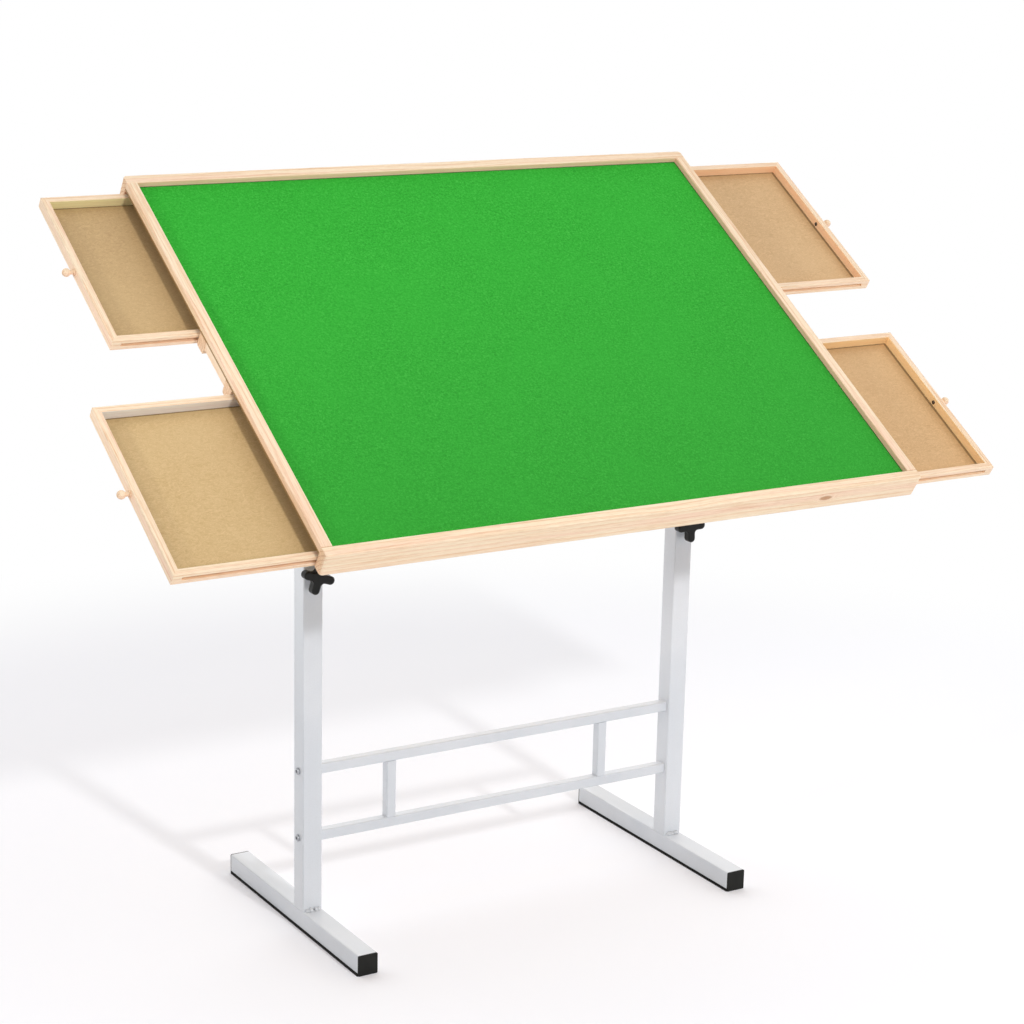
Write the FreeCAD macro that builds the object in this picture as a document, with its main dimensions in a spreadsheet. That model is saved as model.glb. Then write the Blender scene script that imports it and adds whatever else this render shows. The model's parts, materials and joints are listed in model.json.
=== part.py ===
import FreeCAD, Part
import math
import os
import re
import Sketcher

# A jigsaw puzzle table: a tilting pine board with four drawers on a height-adjustable steel stand.
# Millimetres, +Z up. X runs along the board's long side and the user sits on the -Y side.
# The origin is on the floor, under the middle of the whole outline.

SIZES = (
    # steel stand
    ("leg_spacing", 620, "from one leg's centre line to the other's"),
    ("leg_line", 42.7, "the legs' centre line, behind the origin"),
    ("leg_tube", 30, "outer width of the square foot and leg tubes"),
    ("leg_wall", 1.5, "wall of the foot and leg tubes"),
    ("leg_top", 545, "top of the outer legs above the floor"),
    ("foot_ahead", 184.5, "a foot's reach in front of the leg's centre, with its end cap"),
    ("foot_behind", 229.5, "a foot's reach behind the leg's centre, with its end cap"),
    ("tube_corner", 2, "outer corner radius of the square tubes"),
    ("cap_flange", 2.5, "thickness of an end cap's visible flange"),
    ("cap_depth", 14, "length of a foot's end cap and of a glide inside the tube"),
    ("cap_chamfer", 0.7, "chamfer round the flange of a cap or glide"),
    ("cap_gap", 0.2, "gap between a plug and the tube around it"),
    ("rail_tube", 15, "outer width of the stretcher's square tubes"),
    ("rail_wall", 1.2, "wall of the stretcher's tubes"),
    ("upper_rail_height", 238, "upper stretcher rail's centre above the floor"),
    ("lower_rail_height", 138, "lower stretcher rail's centre above the floor"),
    ("ladder_width", 345, "clear width between the stretcher's two posts"),
    ("rail_bolt", 6, "diameter of the bolts through the legs into the rails"),
    ("rail_bolt_reach", 12, "how far those bolts reach into a rail's end"),
    ("rail_bolt_head", 10, "diameter of their heads"),
    ("rail_bolt_cap", 3.2, "height of their heads"),
    ("rail_bolt_edge", 1.2, "chamfer round the outside of their heads"),
    ("rail_bolt_key", 4, "width of the hexagon socket in their heads"),
    ("rail_bolt_socket", 2, "depth of that socket"),
    ("rail_plug_depth", 16, "length of the threaded plug in a rail's end"),
    ("bolt_hole_gap", 0.2, "radial gap round a bolt in a drilled tube"),
    ("thread_gap", 0.05, "radial gap between a thread and its nut, or a pivot and its hole"),
    # guide bush, weld nut and height clamp
    ("slide_gap", 0.25, "gap on each side of an inner tube in its guide bush"),
    ("bush_wall", 0.75, "wall of the guide bush, between an inner tube and the outer leg"),
    ("bush_lip", 3, "thickness of the bush on top of the outer leg"),
    ("bush_depth", 12, "length of the bush inside the outer leg"),
    ("clamp_drop", 19, "height clamp's axis below the top of the outer leg"),
    ("stud", 8, "diameter of the clamp studs, pivot bolts and tilt lock bolts"),
    ("stud_gap", 0.4, "radial gap round a clamp stud in the leg's wall"),
    ("tip_gap", 0.3, "gap between a clamp stud's tip and the inner tube"),
    ("nut_width", 13, "nuts and hexagon heads across the flats"),
    ("nut_depth", 6.5, "thickness of a nut"),
    ("stud_show", 2.5, "length of stud that shows between the weld nut and the knob"),
    ("stud_grip", 8, "length of stud held in a height knob"),
    ("stud_chamfer", 0.8, "chamfer on a stud's tip"),
    ("knob_reach", 24, "from a clamp knob's axis to the tip of a lobe"),
    ("knob_lobe", 12, "width of a clamp knob's lobe"),
    ("knob_thick", 12, "thickness of a clamp knob"),
    ("knob_valley", 5, "radius in the valleys between a clamp knob's lobes"),
    ("knob_edge", 1.8, "chamfer round a clamp knob's outer face"),
    ("left_clamp_turn", 72, "direction of a lobe of the left height knob, degrees"),
    ("right_clamp_turn", 2, "direction of a lobe of the right height knob, degrees"),
    # inner tubes, pivot and tilt lock
    ("inner_wall", 1.5, "wall of the inner tubes"),
    ("inner_length", 404, "length of an inner tube"),
    ("glide_thick", 4, "thickness of the glide under an inner tube"),
    ("top_cap_thick", 2, "thickness of the cap on an inner tube"),
    ("top_cap_depth", 9, "length of that cap inside the tube, above the pivot bolt"),
    ("pivot_height", 804.2, "tilt pivot above the floor"),
    ("pivot_drop", 15, "tilt pivot below the top of the inner tube"),
    ("pivot_below", 34, "tilt pivot below the board's underside"),
    ("pivot_behind", 18, "tilt pivot behind the board's middle, along the board"),
    ("tilt", 32.2, "tilt of the board, degrees"),
    ("steepest", 50, "steepest tilt that the lock slot allows, degrees"),
    ("plate_thick", 3, "thickness of a tilt plate"),
    ("plate_gap", 0.3, "gap on each side of a tilt plate's web"),
    ("slot_radius", 38, "from the pivot to the middle of the lock slot"),
    ("slot_gap", 0.3, "gap round the lock bolt in its slot"),
    ("slot_margin", 9, "plate outside the middle of the lock slot"),
    ("rim_start", 12, "where the plate's round rim starts behind the pivot, degrees"),
    ("rim_end", 62, "where the plate's round rim ends ahead of the pivot, degrees"),
    ("web_front", 45, "web's front corner ahead of the pivot, under the flange"),
    ("web_back", 26, "web's back corner behind the pivot, under the flange"),
    ("flange_width", 28, "width of a tilt plate's flange"),
    ("flange_inset", 1, "tilt plate's flange inside the drawers' bays"),
    ("plate_screw", 4.5, "hole for a screw through the flange"),
    ("head_thick", 5.3, "thickness of a bolt's head"),
    ("bolt_show", 1, "end of a pivot bolt beyond its nut"),
    ("lock_head", 18, "diameter of a tilt lock bolt's round head"),
    ("lock_head_chamfer", 2, "chamfer round that head"),
    ("lock_grip", 9, "how far a tilt lock bolt reaches into its knob"),
    ("lock_bore", 10, "depth of the bore in a tilt knob"),
    # pine board
    ("board_length", 934, "board along X"),
    ("board_depth", 734, "board from front to back"),
    ("board_thick", 35, "height of the front and back rails"),
    ("rail_width", 16, "width of the rails round the board"),
    ("board_corner", 5, "radius of the board's corners"),
    ("edge_round", 1.6, "radius along the rails' edges"),
    ("felt_recess", 7.5, "felt below the top of the rails"),
    ("felt_thick", 1.5, "thickness of the felt"),
    ("panel_thick", 4, "thickness of the panel under the felt"),
    ("panel_inset", 0.5, "panel's ends inside the side rails' outer faces"),
    ("groove_depth", 6, "depth of the grooves that hold the panel in the front and back rails"),
    ("panel_play", 1, "panel's edge short of the bottom of a groove"),
    ("mid_gap", 116, "from the back drawers to the front drawers"),
    ("bar_width", 21, "width of a mid bar"),
    ("bar_lift", 1, "mid bars' and ribs' underside above the rails' underside"),
    ("bar_round", 3, "radius along the lower edges of a mid bar"),
    ("rib_width", 20, "width of a centre rib"),
    ("filler_height", 12, "height of an end filler"),
    ("filler_width", 12, "width of an end filler"),
    ("filler_inset", 0.7, "end filler's face inside the side rail's face"),
    # drawers
    ("drawer_end_gap", 27, "gap between a shut drawer's back and the centre rib"),
    ("drawer_height", 16, "height of a drawer"),
    ("drawer_drop", 4.5, "drawers' top below the underside of the panel"),
    ("drawer_clear", 1, "gap between a drawer and what is beside it"),
    ("drawer_wall", 10, "thickness of a drawer's front, sides and back"),
    ("drawer_floor", 3, "thickness of a drawer's floor"),
    ("floor_lap", 4, "how far a drawer's floor goes under its walls"),
    ("drawer_round", 1.2, "radius along a drawer's top edges"),
    ("run_height", 5, "height of the groove in a drawer's side"),
    ("run_depth", 4, "depth of the groove in a drawer's side"),
    ("run_front", 13, "groove's front end behind the drawer's face"),
    ("run_back", 10, "groove's back end ahead of the drawer's back"),
    ("runner_length", 100, "length of a runner strip"),
    ("runner_gap", 0.3, "gap between a runner and its groove, also at the closed stop"),
    ("back_left_pull", 121.5, "how far the back left drawer stands open"),
    ("front_left_pull", 190, "how far the front left drawer stands open"),
    ("back_right_pull", 190, "how far the back right drawer stands open"),
    ("front_right_pull", 154, "how far the front right drawer stands open"),
    ("pull_ball", 11.6, "diameter of a wooden pull's ball"),
    ("pull_neck", 6, "diameter of a wooden pull's neck"),
    ("pull_base", 9, "diameter of a wooden pull's collar"),
    ("pull_collar", 2, "thickness of a wooden pull's collar"),
    ("pull_length", 17.4, "length of a wooden pull"),
    ("pull_pilot", 3, "pilot hole for a pull's screw"),
    ("pull_pilot_depth", 11, "depth of the pilot hole in a pull"),
    ("pull_screw_hole", 3.6, "hole for the pull's screw in a drawer's front"),
)

doc = FreeCAD.newDocument("PuzzleTable")
sheet = doc.addObject("Spreadsheet::Sheet", "Dims")
for row, (alias, value, meaning) in enumerate(SIZES, 1):
    sheet.set("A%d" % row, alias)
    sheet.set("B%d" % row, str(value))
    sheet.set("C%d" % row, meaning)
    sheet.setAlias("B%d" % row, alias)
doc.recompute()

NAMES = {alias for alias, value, meaning in SIZES}
V = FreeCAD.Vector
X_AXIS, Y_AXIS, Z_AXIS = V(1, 0, 0), V(0, 1, 0), V(0, 0, 1)
NO_TURN = FreeCAD.Rotation()
nodes = []


# ---------------------------------------------------------------- helpers

def size(alias):
    """The sheet's value for one size."""
    return float(getattr(sheet, alias))


def formula(text):
    """Prefix each size name in a formula with the sheet's name."""
    return re.sub(r"[a-z_]+", lambda word: ("Dims." if word.group() in NAMES else "") + word.group(), text)


def at(x=0.0, y=0.0, z=0.0, turn=NO_TURN):
    return FreeCAD.Placement(V(x, y, z), turn)


def start_body(label):
    return doc.addObject("PartDesign::Body", label)


def start_sketch(body, plane, offset="0"):
    """A sketch on one of the body's origin planes, moved by offset along the axis across that plane."""
    sketch = body.newObject("Sketcher::SketchObject", "Sketch")
    support = next(item for item in body.Origin.OriginFeatures if item.Role == plane)
    sketch.AttachmentSupport = [(support, "")]
    sketch.MapMode = "FlatFace"
    # the XZ plane's normal is -Y
    sign = "-" if plane == "XZ_Plane" else ""
    sketch.setExpression("AttachmentOffset.Base.z", "%s(%s)" % (sign, formula(offset)))
    return sketch


def fix(sketch, kind, first, point, start, text):
    """A signed distance from the sketch's origin, bound to a formula."""
    index = sketch.addConstraint(Sketcher.Constraint(kind, -1, 1, first, point, start))
    sketch.setExpression("Constraints[%d]" % index, formula(text))


def add_rectangle(sketch, left, right, bottom, top):
    corners = [V(-1, -1, 0), V(1, -1, 0), V(1, 1, 0), V(-1, 1, 0)]
    lines = [Part.LineSegment(corners[k], corners[(k + 1) % 4]) for k in range(4)]
    ids = sketch.addGeometry(lines, False)
    for k in range(4):
        sketch.addConstraint(Sketcher.Constraint("Coincident", ids[k], 2, ids[(k + 1) % 4], 1))
        sketch.addConstraint(Sketcher.Constraint("Vertical" if k % 2 else "Horizontal", ids[k]))
    fix(sketch, "DistanceX", ids[0], 1, -1.0, left)
    fix(sketch, "DistanceY", ids[0], 1, -1.0, bottom)
    fix(sketch, "DistanceX", ids[1], 2, 1.0, right)
    fix(sketch, "DistanceY", ids[1], 2, 1.0, top)


def add_square(sketch, width):
    half = "(%s) / 2" % width
    add_rectangle(sketch, "-" + half, half, "-" + half, half)


def add_circle(sketch, across, up, diameter):
    index = sketch.addGeometry(Part.Circle(V(1, 1, 0), Z_AXIS, 1), False)
    fix(sketch, "DistanceX", index, 3, 1.0, across)
    fix(sketch, "DistanceY", index, 3, 1.0, up)
    radius = sketch.addConstraint(Sketcher.Constraint("Radius", index, 1.0))
    sketch.setExpression("Constraints[%d]" % radius, formula("(%s) / 2" % diameter))


def add_hexagon(sketch, width):
    """A regular hexagon about the origin, of a given width across its flats."""
    corner = "(%s) / sqrt(3)" % width
    turns = range(0, 360, 60)
    add_outline(sketch, [("%s * cos(%d)" % (corner, turn), "%s * sin(%d)" % (corner, turn)) for turn in turns])


def add_outline(sketch, points):
    """A closed outline of straight lines through points given as pairs of formulas."""
    count = len(points)
    start = [V(math.cos(2 * math.pi * k / count), math.sin(2 * math.pi * k / count), 0) for k in range(count)]
    lines = [Part.LineSegment(start[k], start[(k + 1) % count]) for k in range(count)]
    ids = sketch.addGeometry(lines, False)
    for k in range(count):
        sketch.addConstraint(Sketcher.Constraint("Coincident", ids[k], 2, ids[(k + 1) % count], 1))
        fix(sketch, "DistanceX", ids[k], 1, start[k].x, points[k][0])
        fix(sketch, "DistanceY", ids[k], 1, start[k].y, points[k][1])


def pad(body, sketch, length, symmetric=False, backwards=False):
    feature = body.newObject("PartDesign::Pad", "Pad")
    feature.Profile = sketch
    feature.SideType = "Symmetric" if symmetric else "One side"
    feature.Reversed = backwards
    feature.setExpression("Length", formula(length))
    doc.recompute()
    return feature


def cut(body, sketch, depth=None, backwards=False):
    """A pocket of the given depth, or right through both ways. It must take some material away."""
    before = body.Shape.Volume
    feature = body.newObject("PartDesign::Pocket", "Pocket")
    feature.Profile = sketch
    if depth is None:
        feature.Type = "ThroughAll"
        feature.SideType = "Symmetric"
    else:
        feature.Reversed = backwards
        feature.setExpression("Length", formula(depth))
    doc.recompute()
    if not body.Shape.Volume < before - 1e-6:
        raise RuntimeError("a pocket in %s cuts nothing" % body.Label)
    return feature


def dress(body, kind, amount_name, amount, chosen):
    """A fillet or chamfer on the edges that the test picks."""
    base = body.Tip
    picked = ["Edge%d" % (k + 1) for k, edge in enumerate(base.Shape.Edges) if chosen(edge)]
    feature = body.newObject("PartDesign::" + kind, kind)
    feature.Base = (base, picked)
    feature.setExpression(amount_name, formula(amount))
    doc.recompute()
    return feature


def fillet(body, radius, chosen):
    return dress(body, "Fillet", "Radius", radius, chosen)


def chamfer(body, amount, chosen):
    return dress(body, "Chamfer", "Size", amount, chosen)


def runs(edge, axis):
    """Whether a straight edge runs along an axis."""
    if not isinstance(edge.Curve, (Part.Line, Part.LineSegment)):
        return False
    direction = edge.tangentAt(edge.FirstParameter)
    return abs(direction.dot(axis)) > 0.999


def level(edge, axis, place):
    """Whether the whole edge lies in the plane at that place along the axis."""
    box = edge.BoundBox
    low = V(box.XMin, box.YMin, box.ZMin).dot(axis)
    high = V(box.XMax, box.YMax, box.ZMax).dot(axis)
    return abs(low - place) < 1e-3 and abs(high - place) < 1e-3


def square_tube(label, plane, width, wall, length):
    """A square tube with rounded corners, centred on its own origin."""
    axis = {"XY_Plane": Z_AXIS, "XZ_Plane": Y_AXIS, "YZ_Plane": X_AXIS}[plane]
    body = start_body(label)
    outer = start_sketch(body, plane)
    add_square(outer, width)
    pad(body, outer, length, symmetric=True)
    fillet(body, "tube_corner", lambda edge: runs(edge, axis))
    inner = start_sketch(body, plane)
    add_square(inner, "%s - 2 * %s" % (width, wall))
    cut(body, inner)
    return body


def block(label, x_span, y_span, z_span):
    """A wooden piece between three pairs of limits, each a formula."""
    body = start_body(label)
    outline = start_sketch(body, "XY_Plane", z_span[0])
    add_rectangle(outline, x_span[0], x_span[1], y_span[0], y_span[1])
    pad(body, outline, "(%s) - (%s)" % (z_span[1], z_span[0]))
    return body


def mitred(label, points, z_span):
    """A wooden piece with an outline of straight lines, between two heights."""
    body = start_body(label)
    outline = start_sketch(body, "XY_Plane", z_span[0])
    add_outline(outline, points)
    pad(body, outline, "(%s) - (%s)" % (z_span[1], z_span[0]))
    return body


def cut_block(body, x_span, y_span, z_span):
    outline = start_sketch(body, "XY_Plane", z_span[1])
    add_rectangle(outline, x_span[0], x_span[1], y_span[0], y_span[1])
    cut(body, outline, "(%s) - (%s)" % (z_span[1], z_span[0]))


def cylinder(label, diameter, length):
    solid = doc.addObject("Part::Cylinder", label)
    solid.setExpression("Radius", formula("(%s) / 2" % diameter))
    solid.setExpression("Height", formula(length))
    return solid


def keep(piece, placement=None):
    """Register a finished piece as a node, at its place."""
    if placement is not None:
        piece.Placement = placement
    nodes.append(piece)
    return piece


def keep_group(label, copies):
    """One node that holds several copies: pairs of a piece and its placement."""
    links = []
    for piece, placement in copies:
        link = doc.addObject("App::Link", label + "_copy")
        link.LinkedObject = piece
        link.Placement = placement
        links.append(link)
    group = doc.addObject("Part::Compound", label)
    group.Links = links
    nodes.append(group)
    return group


# ---------------------------------------------------------------- places

leg_x = size("leg_spacing") / 2
clamp_z = size("leg_top") - size("clamp_drop")
leg_y = size("leg_line")
half_leg = size("leg_tube") / 2
half_inner = half_leg - size("leg_wall") - size("bush_wall") - size("slide_gap")
half_length = size("board_length") / 2
SIDES = (("left", -1), ("right", 1))
HALF_TURN = FreeCAD.Rotation(Z_AXIS, 180)
TO_FRONT = FreeCAD.Rotation(X_AXIS, 90)
TO_BACK = FreeCAD.Rotation(X_AXIS, -90)


def outward(side):
    """Turns a piece modelled for the right side, with +X outward, to the given side."""
    return NO_TURN if side > 0 else HALF_TURN


# The board's frame: X along the board, Y up the slope, Z square to the board, origin on the top of
# the rails at the board's middle. The pivot lies below and behind that point.
pivot_place = at(0, leg_y, size("pivot_height"), FreeCAD.Rotation(X_AXIS, size("tilt")))
board_place = pivot_place * at(0, -size("pivot_behind"), size("board_thick") + size("pivot_below"))


# ---------------------------------------------------------------- stand

foot_length = "foot_ahead + foot_behind - 2 * cap_flange"
foot_y = leg_y + (size("foot_behind") - size("foot_ahead")) / 2
for name, side in SIDES:
    foot = square_tube(name + "_foot", "XZ_Plane", "leg_tube", "leg_wall", foot_length)
    keep(foot, at(side * leg_x, foot_y, half_leg))


def tube_plug(label, tube, wall, flange_width, flange_thick, depth="cap_depth"):
    """A moulded plug: its flange lies on the tube's end at z = 0, its shank goes down into the tube."""
    body = start_body(label)
    flange = start_sketch(body, "XY_Plane")
    add_square(flange, flange_width)
    pad(body, flange, flange_thick)
    fillet(body, "tube_corner", lambda edge: runs(edge, Z_AXIS))
    top = size(flange_thick)
    chamfer(body, "cap_chamfer", lambda edge: level(edge, Z_AXIS, top))
    shank = start_sketch(body, "XY_Plane")
    add_square(shank, "%s - 2 * %s - 2 * cap_gap" % (tube, wall))
    pad(body, shank, depth, backwards=True)
    return body


end_cap = tube_plug("end_cap", "leg_tube", "leg_wall", "leg_tube", "cap_flange")
front_end = leg_y - size("foot_ahead") + size("cap_flange")
back_end = leg_y + size("foot_behind") - size("cap_flange")
cap_places = []
for name, side in SIDES:
    cap_places.append((end_cap, at(side * leg_x, front_end, half_leg, TO_FRONT)))
    cap_places.append((end_cap, at(side * leg_x, back_end, half_leg, TO_BACK)))
keep_group("foot_end_caps", cap_places)

# outer legs, welded on the feet: bolt holes for the stretcher, a hole in front for the clamp stud
leg_middle = "(leg_tube + leg_top) / 2"
leg_z = (size("leg_tube") + size("leg_top")) / 2
for name, side in SIDES:
    leg = square_tube(name + "_leg", "XY_Plane", "leg_tube", "leg_wall", "leg_top - leg_tube")
    for rail in ("upper", "lower"):
        hole = start_sketch(leg, "YZ_Plane")
        add_circle(hole, "0", "%s_rail_height - %s" % (rail, leg_middle), "rail_bolt + 2 * bolt_hole_gap")
        cut(leg, hole)
    stud_hole = start_sketch(leg, "XZ_Plane")
    add_circle(stud_hole, "0", "leg_top - clamp_drop - " + leg_middle, "stud + 2 * stud_gap")
    cut(leg, stud_hole, "leg_tube", backwards=True)
    keep(leg, at(side * leg_x, leg_y, leg_z))

# ladder stretcher between the legs
for rail in ("upper", "lower"):
    tube = square_tube(rail + "_stretcher_rail", "YZ_Plane", "rail_tube", "rail_wall",
                       "leg_spacing - leg_tube")
    keep(tube, at(0, leg_y, size(rail + "_rail_height")))
post_length = "upper_rail_height - lower_rail_height - rail_tube"
post_z = (size("upper_rail_height") + size("lower_rail_height")) / 2
post = square_tube("stretcher_post", "XY_Plane", "rail_tube", "rail_wall", post_length)
post_x = (size("ladder_width") + size("rail_tube")) / 2
post_places = [(post, at(side * post_x, leg_y, post_z)) for name, side in SIDES]
keep_group("stretcher_posts", post_places)

# threaded plugs in the rails' ends, modelled with the rail's end at x = 0 and the leg at +X
rail_plug = start_body("rail_plug")
plug_outline = start_sketch(rail_plug, "YZ_Plane")
add_square(plug_outline, "rail_tube - 2 * rail_wall")
pad(rail_plug, plug_outline, "rail_plug_depth", backwards=True)
plug_bore = start_sketch(rail_plug, "YZ_Plane")
add_circle(plug_bore, "0", "0", "rail_bolt + 2 * thread_gap")
cut(rail_plug, plug_bore, "rail_bolt_reach + 1")

# button-head bolts, modelled with the leg's outer face at x = 0 and the head at +X
rail_bolt = start_body("rail_bolt")
bolt_head = start_sketch(rail_bolt, "YZ_Plane")
add_circle(bolt_head, "0", "0", "rail_bolt_head")
pad(rail_bolt, bolt_head, "rail_bolt_cap")
chamfer(rail_bolt, "rail_bolt_edge", lambda edge: level(edge, X_AXIS, size("rail_bolt_cap")))
bolt_shank = start_sketch(rail_bolt, "YZ_Plane")
add_circle(bolt_shank, "0", "0", "rail_bolt")
pad(rail_bolt, bolt_shank, "leg_tube + rail_bolt_reach", backwards=True)
key_hole = start_sketch(rail_bolt, "YZ_Plane", "rail_bolt_cap")
add_hexagon(key_hole, "rail_bolt_key")
cut(rail_bolt, key_hole, "rail_bolt_socket")

plug_places = []
bolt_places = []
for rail in ("upper", "lower"):
    rail_z = size(rail + "_rail_height")
    for name, side in SIDES:
        plug_places.append((rail_plug, at(side * (leg_x - half_leg), leg_y, rail_z, outward(side))))
        bolt_places.append((rail_bolt, at(side * (leg_x + half_leg), leg_y, rail_z, outward(side))))
keep_group("rail_end_plugs", plug_places)
keep_group("stretcher_bolts", bolt_places)

# guide bush in the mouth of each outer leg, modelled with the leg's top at z = 0
bush = start_body("bush")
lip = start_sketch(bush, "XY_Plane")
add_square(lip, "leg_tube")
pad(bush, lip, "bush_lip")
fillet(bush, "tube_corner", lambda edge: runs(edge, Z_AXIS))
skirt = start_sketch(bush, "XY_Plane")
add_square(skirt, "leg_tube - 2 * leg_wall")
pad(bush, skirt, "bush_depth", backwards=True)
bush_bore = start_sketch(bush, "XY_Plane")
add_square(bush_bore, "leg_tube - 2 * leg_wall - 2 * bush_wall")
cut(bush, bush_bore)
bush_places = [(bush, at(side * leg_x, leg_y, size("leg_top"))) for name, side in SIDES]
keep_group("leg_bushes", bush_places)


def hexagon_nut(label, depth):
    """A nut standing on z = 0 with a running thread for the stud."""
    prism = doc.addObject("Part::Prism", label + "_blank")
    prism.Polygon = 6
    prism.setExpression("Circumradius", formula("nut_width / sqrt(3)"))
    prism.setExpression("Height", formula(depth))
    bore = cylinder(label + "_bore", "stud + 2 * thread_gap", depth)
    nut = doc.addObject("Part::Cut", label)
    nut.Base = prism
    nut.Tool = bore
    return nut


nut = hexagon_nut("nut", "nut_depth")
leg_front = leg_y - half_leg
nut_places = [(nut, at(side * leg_x, leg_front, clamp_z, TO_FRONT)) for name, side in SIDES]
keep_group("clamp_weld_nuts", nut_places)


# ---------------------------------------------------------------- clamp knobs

def clamp_knob(label, bore, bore_depth):
    """A four-lobed knob: its inner face is at z = 0, its outer face up at knob_thick."""
    body = start_body(label)
    lobe = start_sketch(body, "XY_Plane")
    add_rectangle(lobe, "0", "knob_reach - knob_lobe / 2", "-knob_lobe / 2", "knob_lobe / 2")
    arm = pad(body, lobe, "knob_thick")
    tip_circle = start_sketch(body, "XY_Plane")
    add_circle(tip_circle, "knob_reach - knob_lobe / 2", "0", "knob_lobe")
    tip = pad(body, tip_circle, "knob_thick")
    lobes = body.newObject("PartDesign::PolarPattern", "Lobes")
    lobes.Originals = [arm, tip]
    axis = next(item for item in body.Origin.OriginFeatures if item.Role == "Z_Axis")
    lobes.Axis = (axis, [""])
    lobes.Angle = 360
    lobes.Occurrences = 4
    body.Tip = lobes
    doc.recompute()
    # neighbouring lobes meet in a valley edge, nearer the axis than any other upright edge
    near = size("knob_lobe") * 0.8

    def in_valley(edge):
        return runs(edge, Z_AXIS) and math.hypot(edge.CenterOfMass.x, edge.CenterOfMass.y) < near

    fillet(body, "knob_valley", in_valley)
    chamfer(body, "knob_edge", lambda edge: level(edge, Z_AXIS, size("knob_thick")))
    socket = start_sketch(body, "XY_Plane")
    add_circle(socket, "0", "0", bore)
    cut(body, socket, bore_depth, backwards=True)
    return body


# height clamps on the legs' fronts: knob and stud turn together in the weld nut
knob_y = leg_front - size("nut_depth") - size("stud_show")
for name, side in SIDES:
    spin = FreeCAD.Rotation(Z_AXIS, size(name + "_clamp_turn"))
    place = at(side * leg_x, knob_y, clamp_z, TO_FRONT * spin)
    keep(clamp_knob(name + "_height_knob", "stud", "stud_grip"), place)
    stud = start_body(name + "_height_stud")
    stud_tip = "leg_wall + bush_wall + slide_gap - tip_gap + nut_depth + stud_show"
    rod = start_sketch(stud, "XY_Plane", "-(%s)" % stud_tip)
    add_circle(rod, "0", "0", "stud")
    pad(stud, rod, "%s + stud_grip" % stud_tip)
    lowest = stud.Shape.BoundBox.ZMin
    chamfer(stud, "stud_chamfer", lambda edge: level(edge, Z_AXIS, lowest))
    keep(stud, place)


# ---------------------------------------------------------------- lift

# the inner tubes' width leaves room for the guide bush
inner_tube = "(leg_tube - 2 * leg_wall - 2 * bush_wall - 2 * slide_gap)"
inner_top = size("pivot_height") + size("pivot_drop")
inner_z = inner_top - size("inner_length") / 2
for name, side in SIDES:
    tube = square_tube(name + "_inner_tube", "XY_Plane", inner_tube, "inner_wall", "inner_length")
    for height in ("inner_length / 2 - pivot_drop", "inner_length / 2 - pivot_drop - slot_radius"):
        hole = start_sketch(tube, "YZ_Plane")
        add_circle(hole, "0", height, "stud + 2 * thread_gap")
        cut(tube, hole)
    keep(tube, at(side * leg_x, leg_y, inner_z))

top_cap = tube_plug("top_cap", inner_tube, "inner_wall", inner_tube, "top_cap_thick", "top_cap_depth")
glide_width = "leg_tube - 2 * leg_wall - 2 * cap_gap"
glide = tube_plug("glide", inner_tube, "inner_wall", glide_width, "glide_thick")
DOWN = FreeCAD.Rotation(X_AXIS, 180)
plug_places = []
for name, side in SIDES:
    plug_places.append((top_cap, at(side * leg_x, leg_y, inner_top)))
    plug_places.append((glide, at(side * leg_x, leg_y, inner_top - size("inner_length"), DOWN)))
keep_group("inner_tube_plugs", plug_places)

# The pivot bolt and the lock bolt run along X through the inner tube and the tilt plate beside it.
# They are modelled with the tube's middle at x = 0 and the plate's side at +X.
head_seat = inner_tube + " / 2 + plate_thick + 2 * plate_gap"


def through_bolt(label, head_width, reach, hexagon=False):
    """A bolt along X with a round head, or a hexagon one, beyond the tilt plate."""
    body = start_body(label)
    shank = start_sketch(body, "YZ_Plane", head_seat)
    add_circle(shank, "0", "0", "stud")
    pad(body, shank, "%s + %s / 2 + %s" % (head_seat, inner_tube, reach), backwards=True)
    head = start_sketch(body, "YZ_Plane", head_seat)
    if hexagon:
        add_hexagon(head, head_width)
        pad(body, head, "head_thick")
    else:
        add_circle(head, "0", "0", head_width)
        pad(body, head, "head_thick")
        face = body.Shape.BoundBox.XMax
        chamfer(body, "lock_head_chamfer", lambda edge: level(edge, X_AXIS, face))
    return body


pivot_bolt = through_bolt("pivot_bolt", "nut_width", "nut_depth + bolt_show", hexagon=True)
lock_bolt = through_bolt("lock_bolt", "lock_head", "plate_gap + lock_grip")
TOWARD_PLUS_X = FreeCAD.Rotation(Y_AXIS, 90)
pivot_places = []
lock_places = []
for name, side in SIDES:
    inward = outward(-side)
    pivot = at(side * leg_x, leg_y, size("pivot_height"), inward)
    pivot_places.append((pivot_bolt, pivot))
    pivot_places.append((nut, pivot * at(-half_inner - size("nut_depth"), 0, 0, TOWARD_PLUS_X)))
    lock_places.append((lock_bolt, pivot * at(0, 0, -size("slot_radius"))))
keep_group("pivot_bolts", pivot_places)
keep_group("tilt_lock_bolts", lock_places)

# tilt lock knobs on the outer faces of the inner tubes
for name, side in SIDES:
    toward_side = FreeCAD.Rotation(Y_AXIS, 90 * side)
    knob_x = side * (leg_x + half_inner + size("plate_gap"))
    lock_z = size("pivot_height") - size("slot_radius")
    knob = clamp_knob(name + "_tilt_knob", "stud + 2 * thread_gap", "lock_bore")
    keep(knob, at(knob_x, leg_y, lock_z, toward_side))


# ---------------------------------------------------------------- tilt plates

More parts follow.
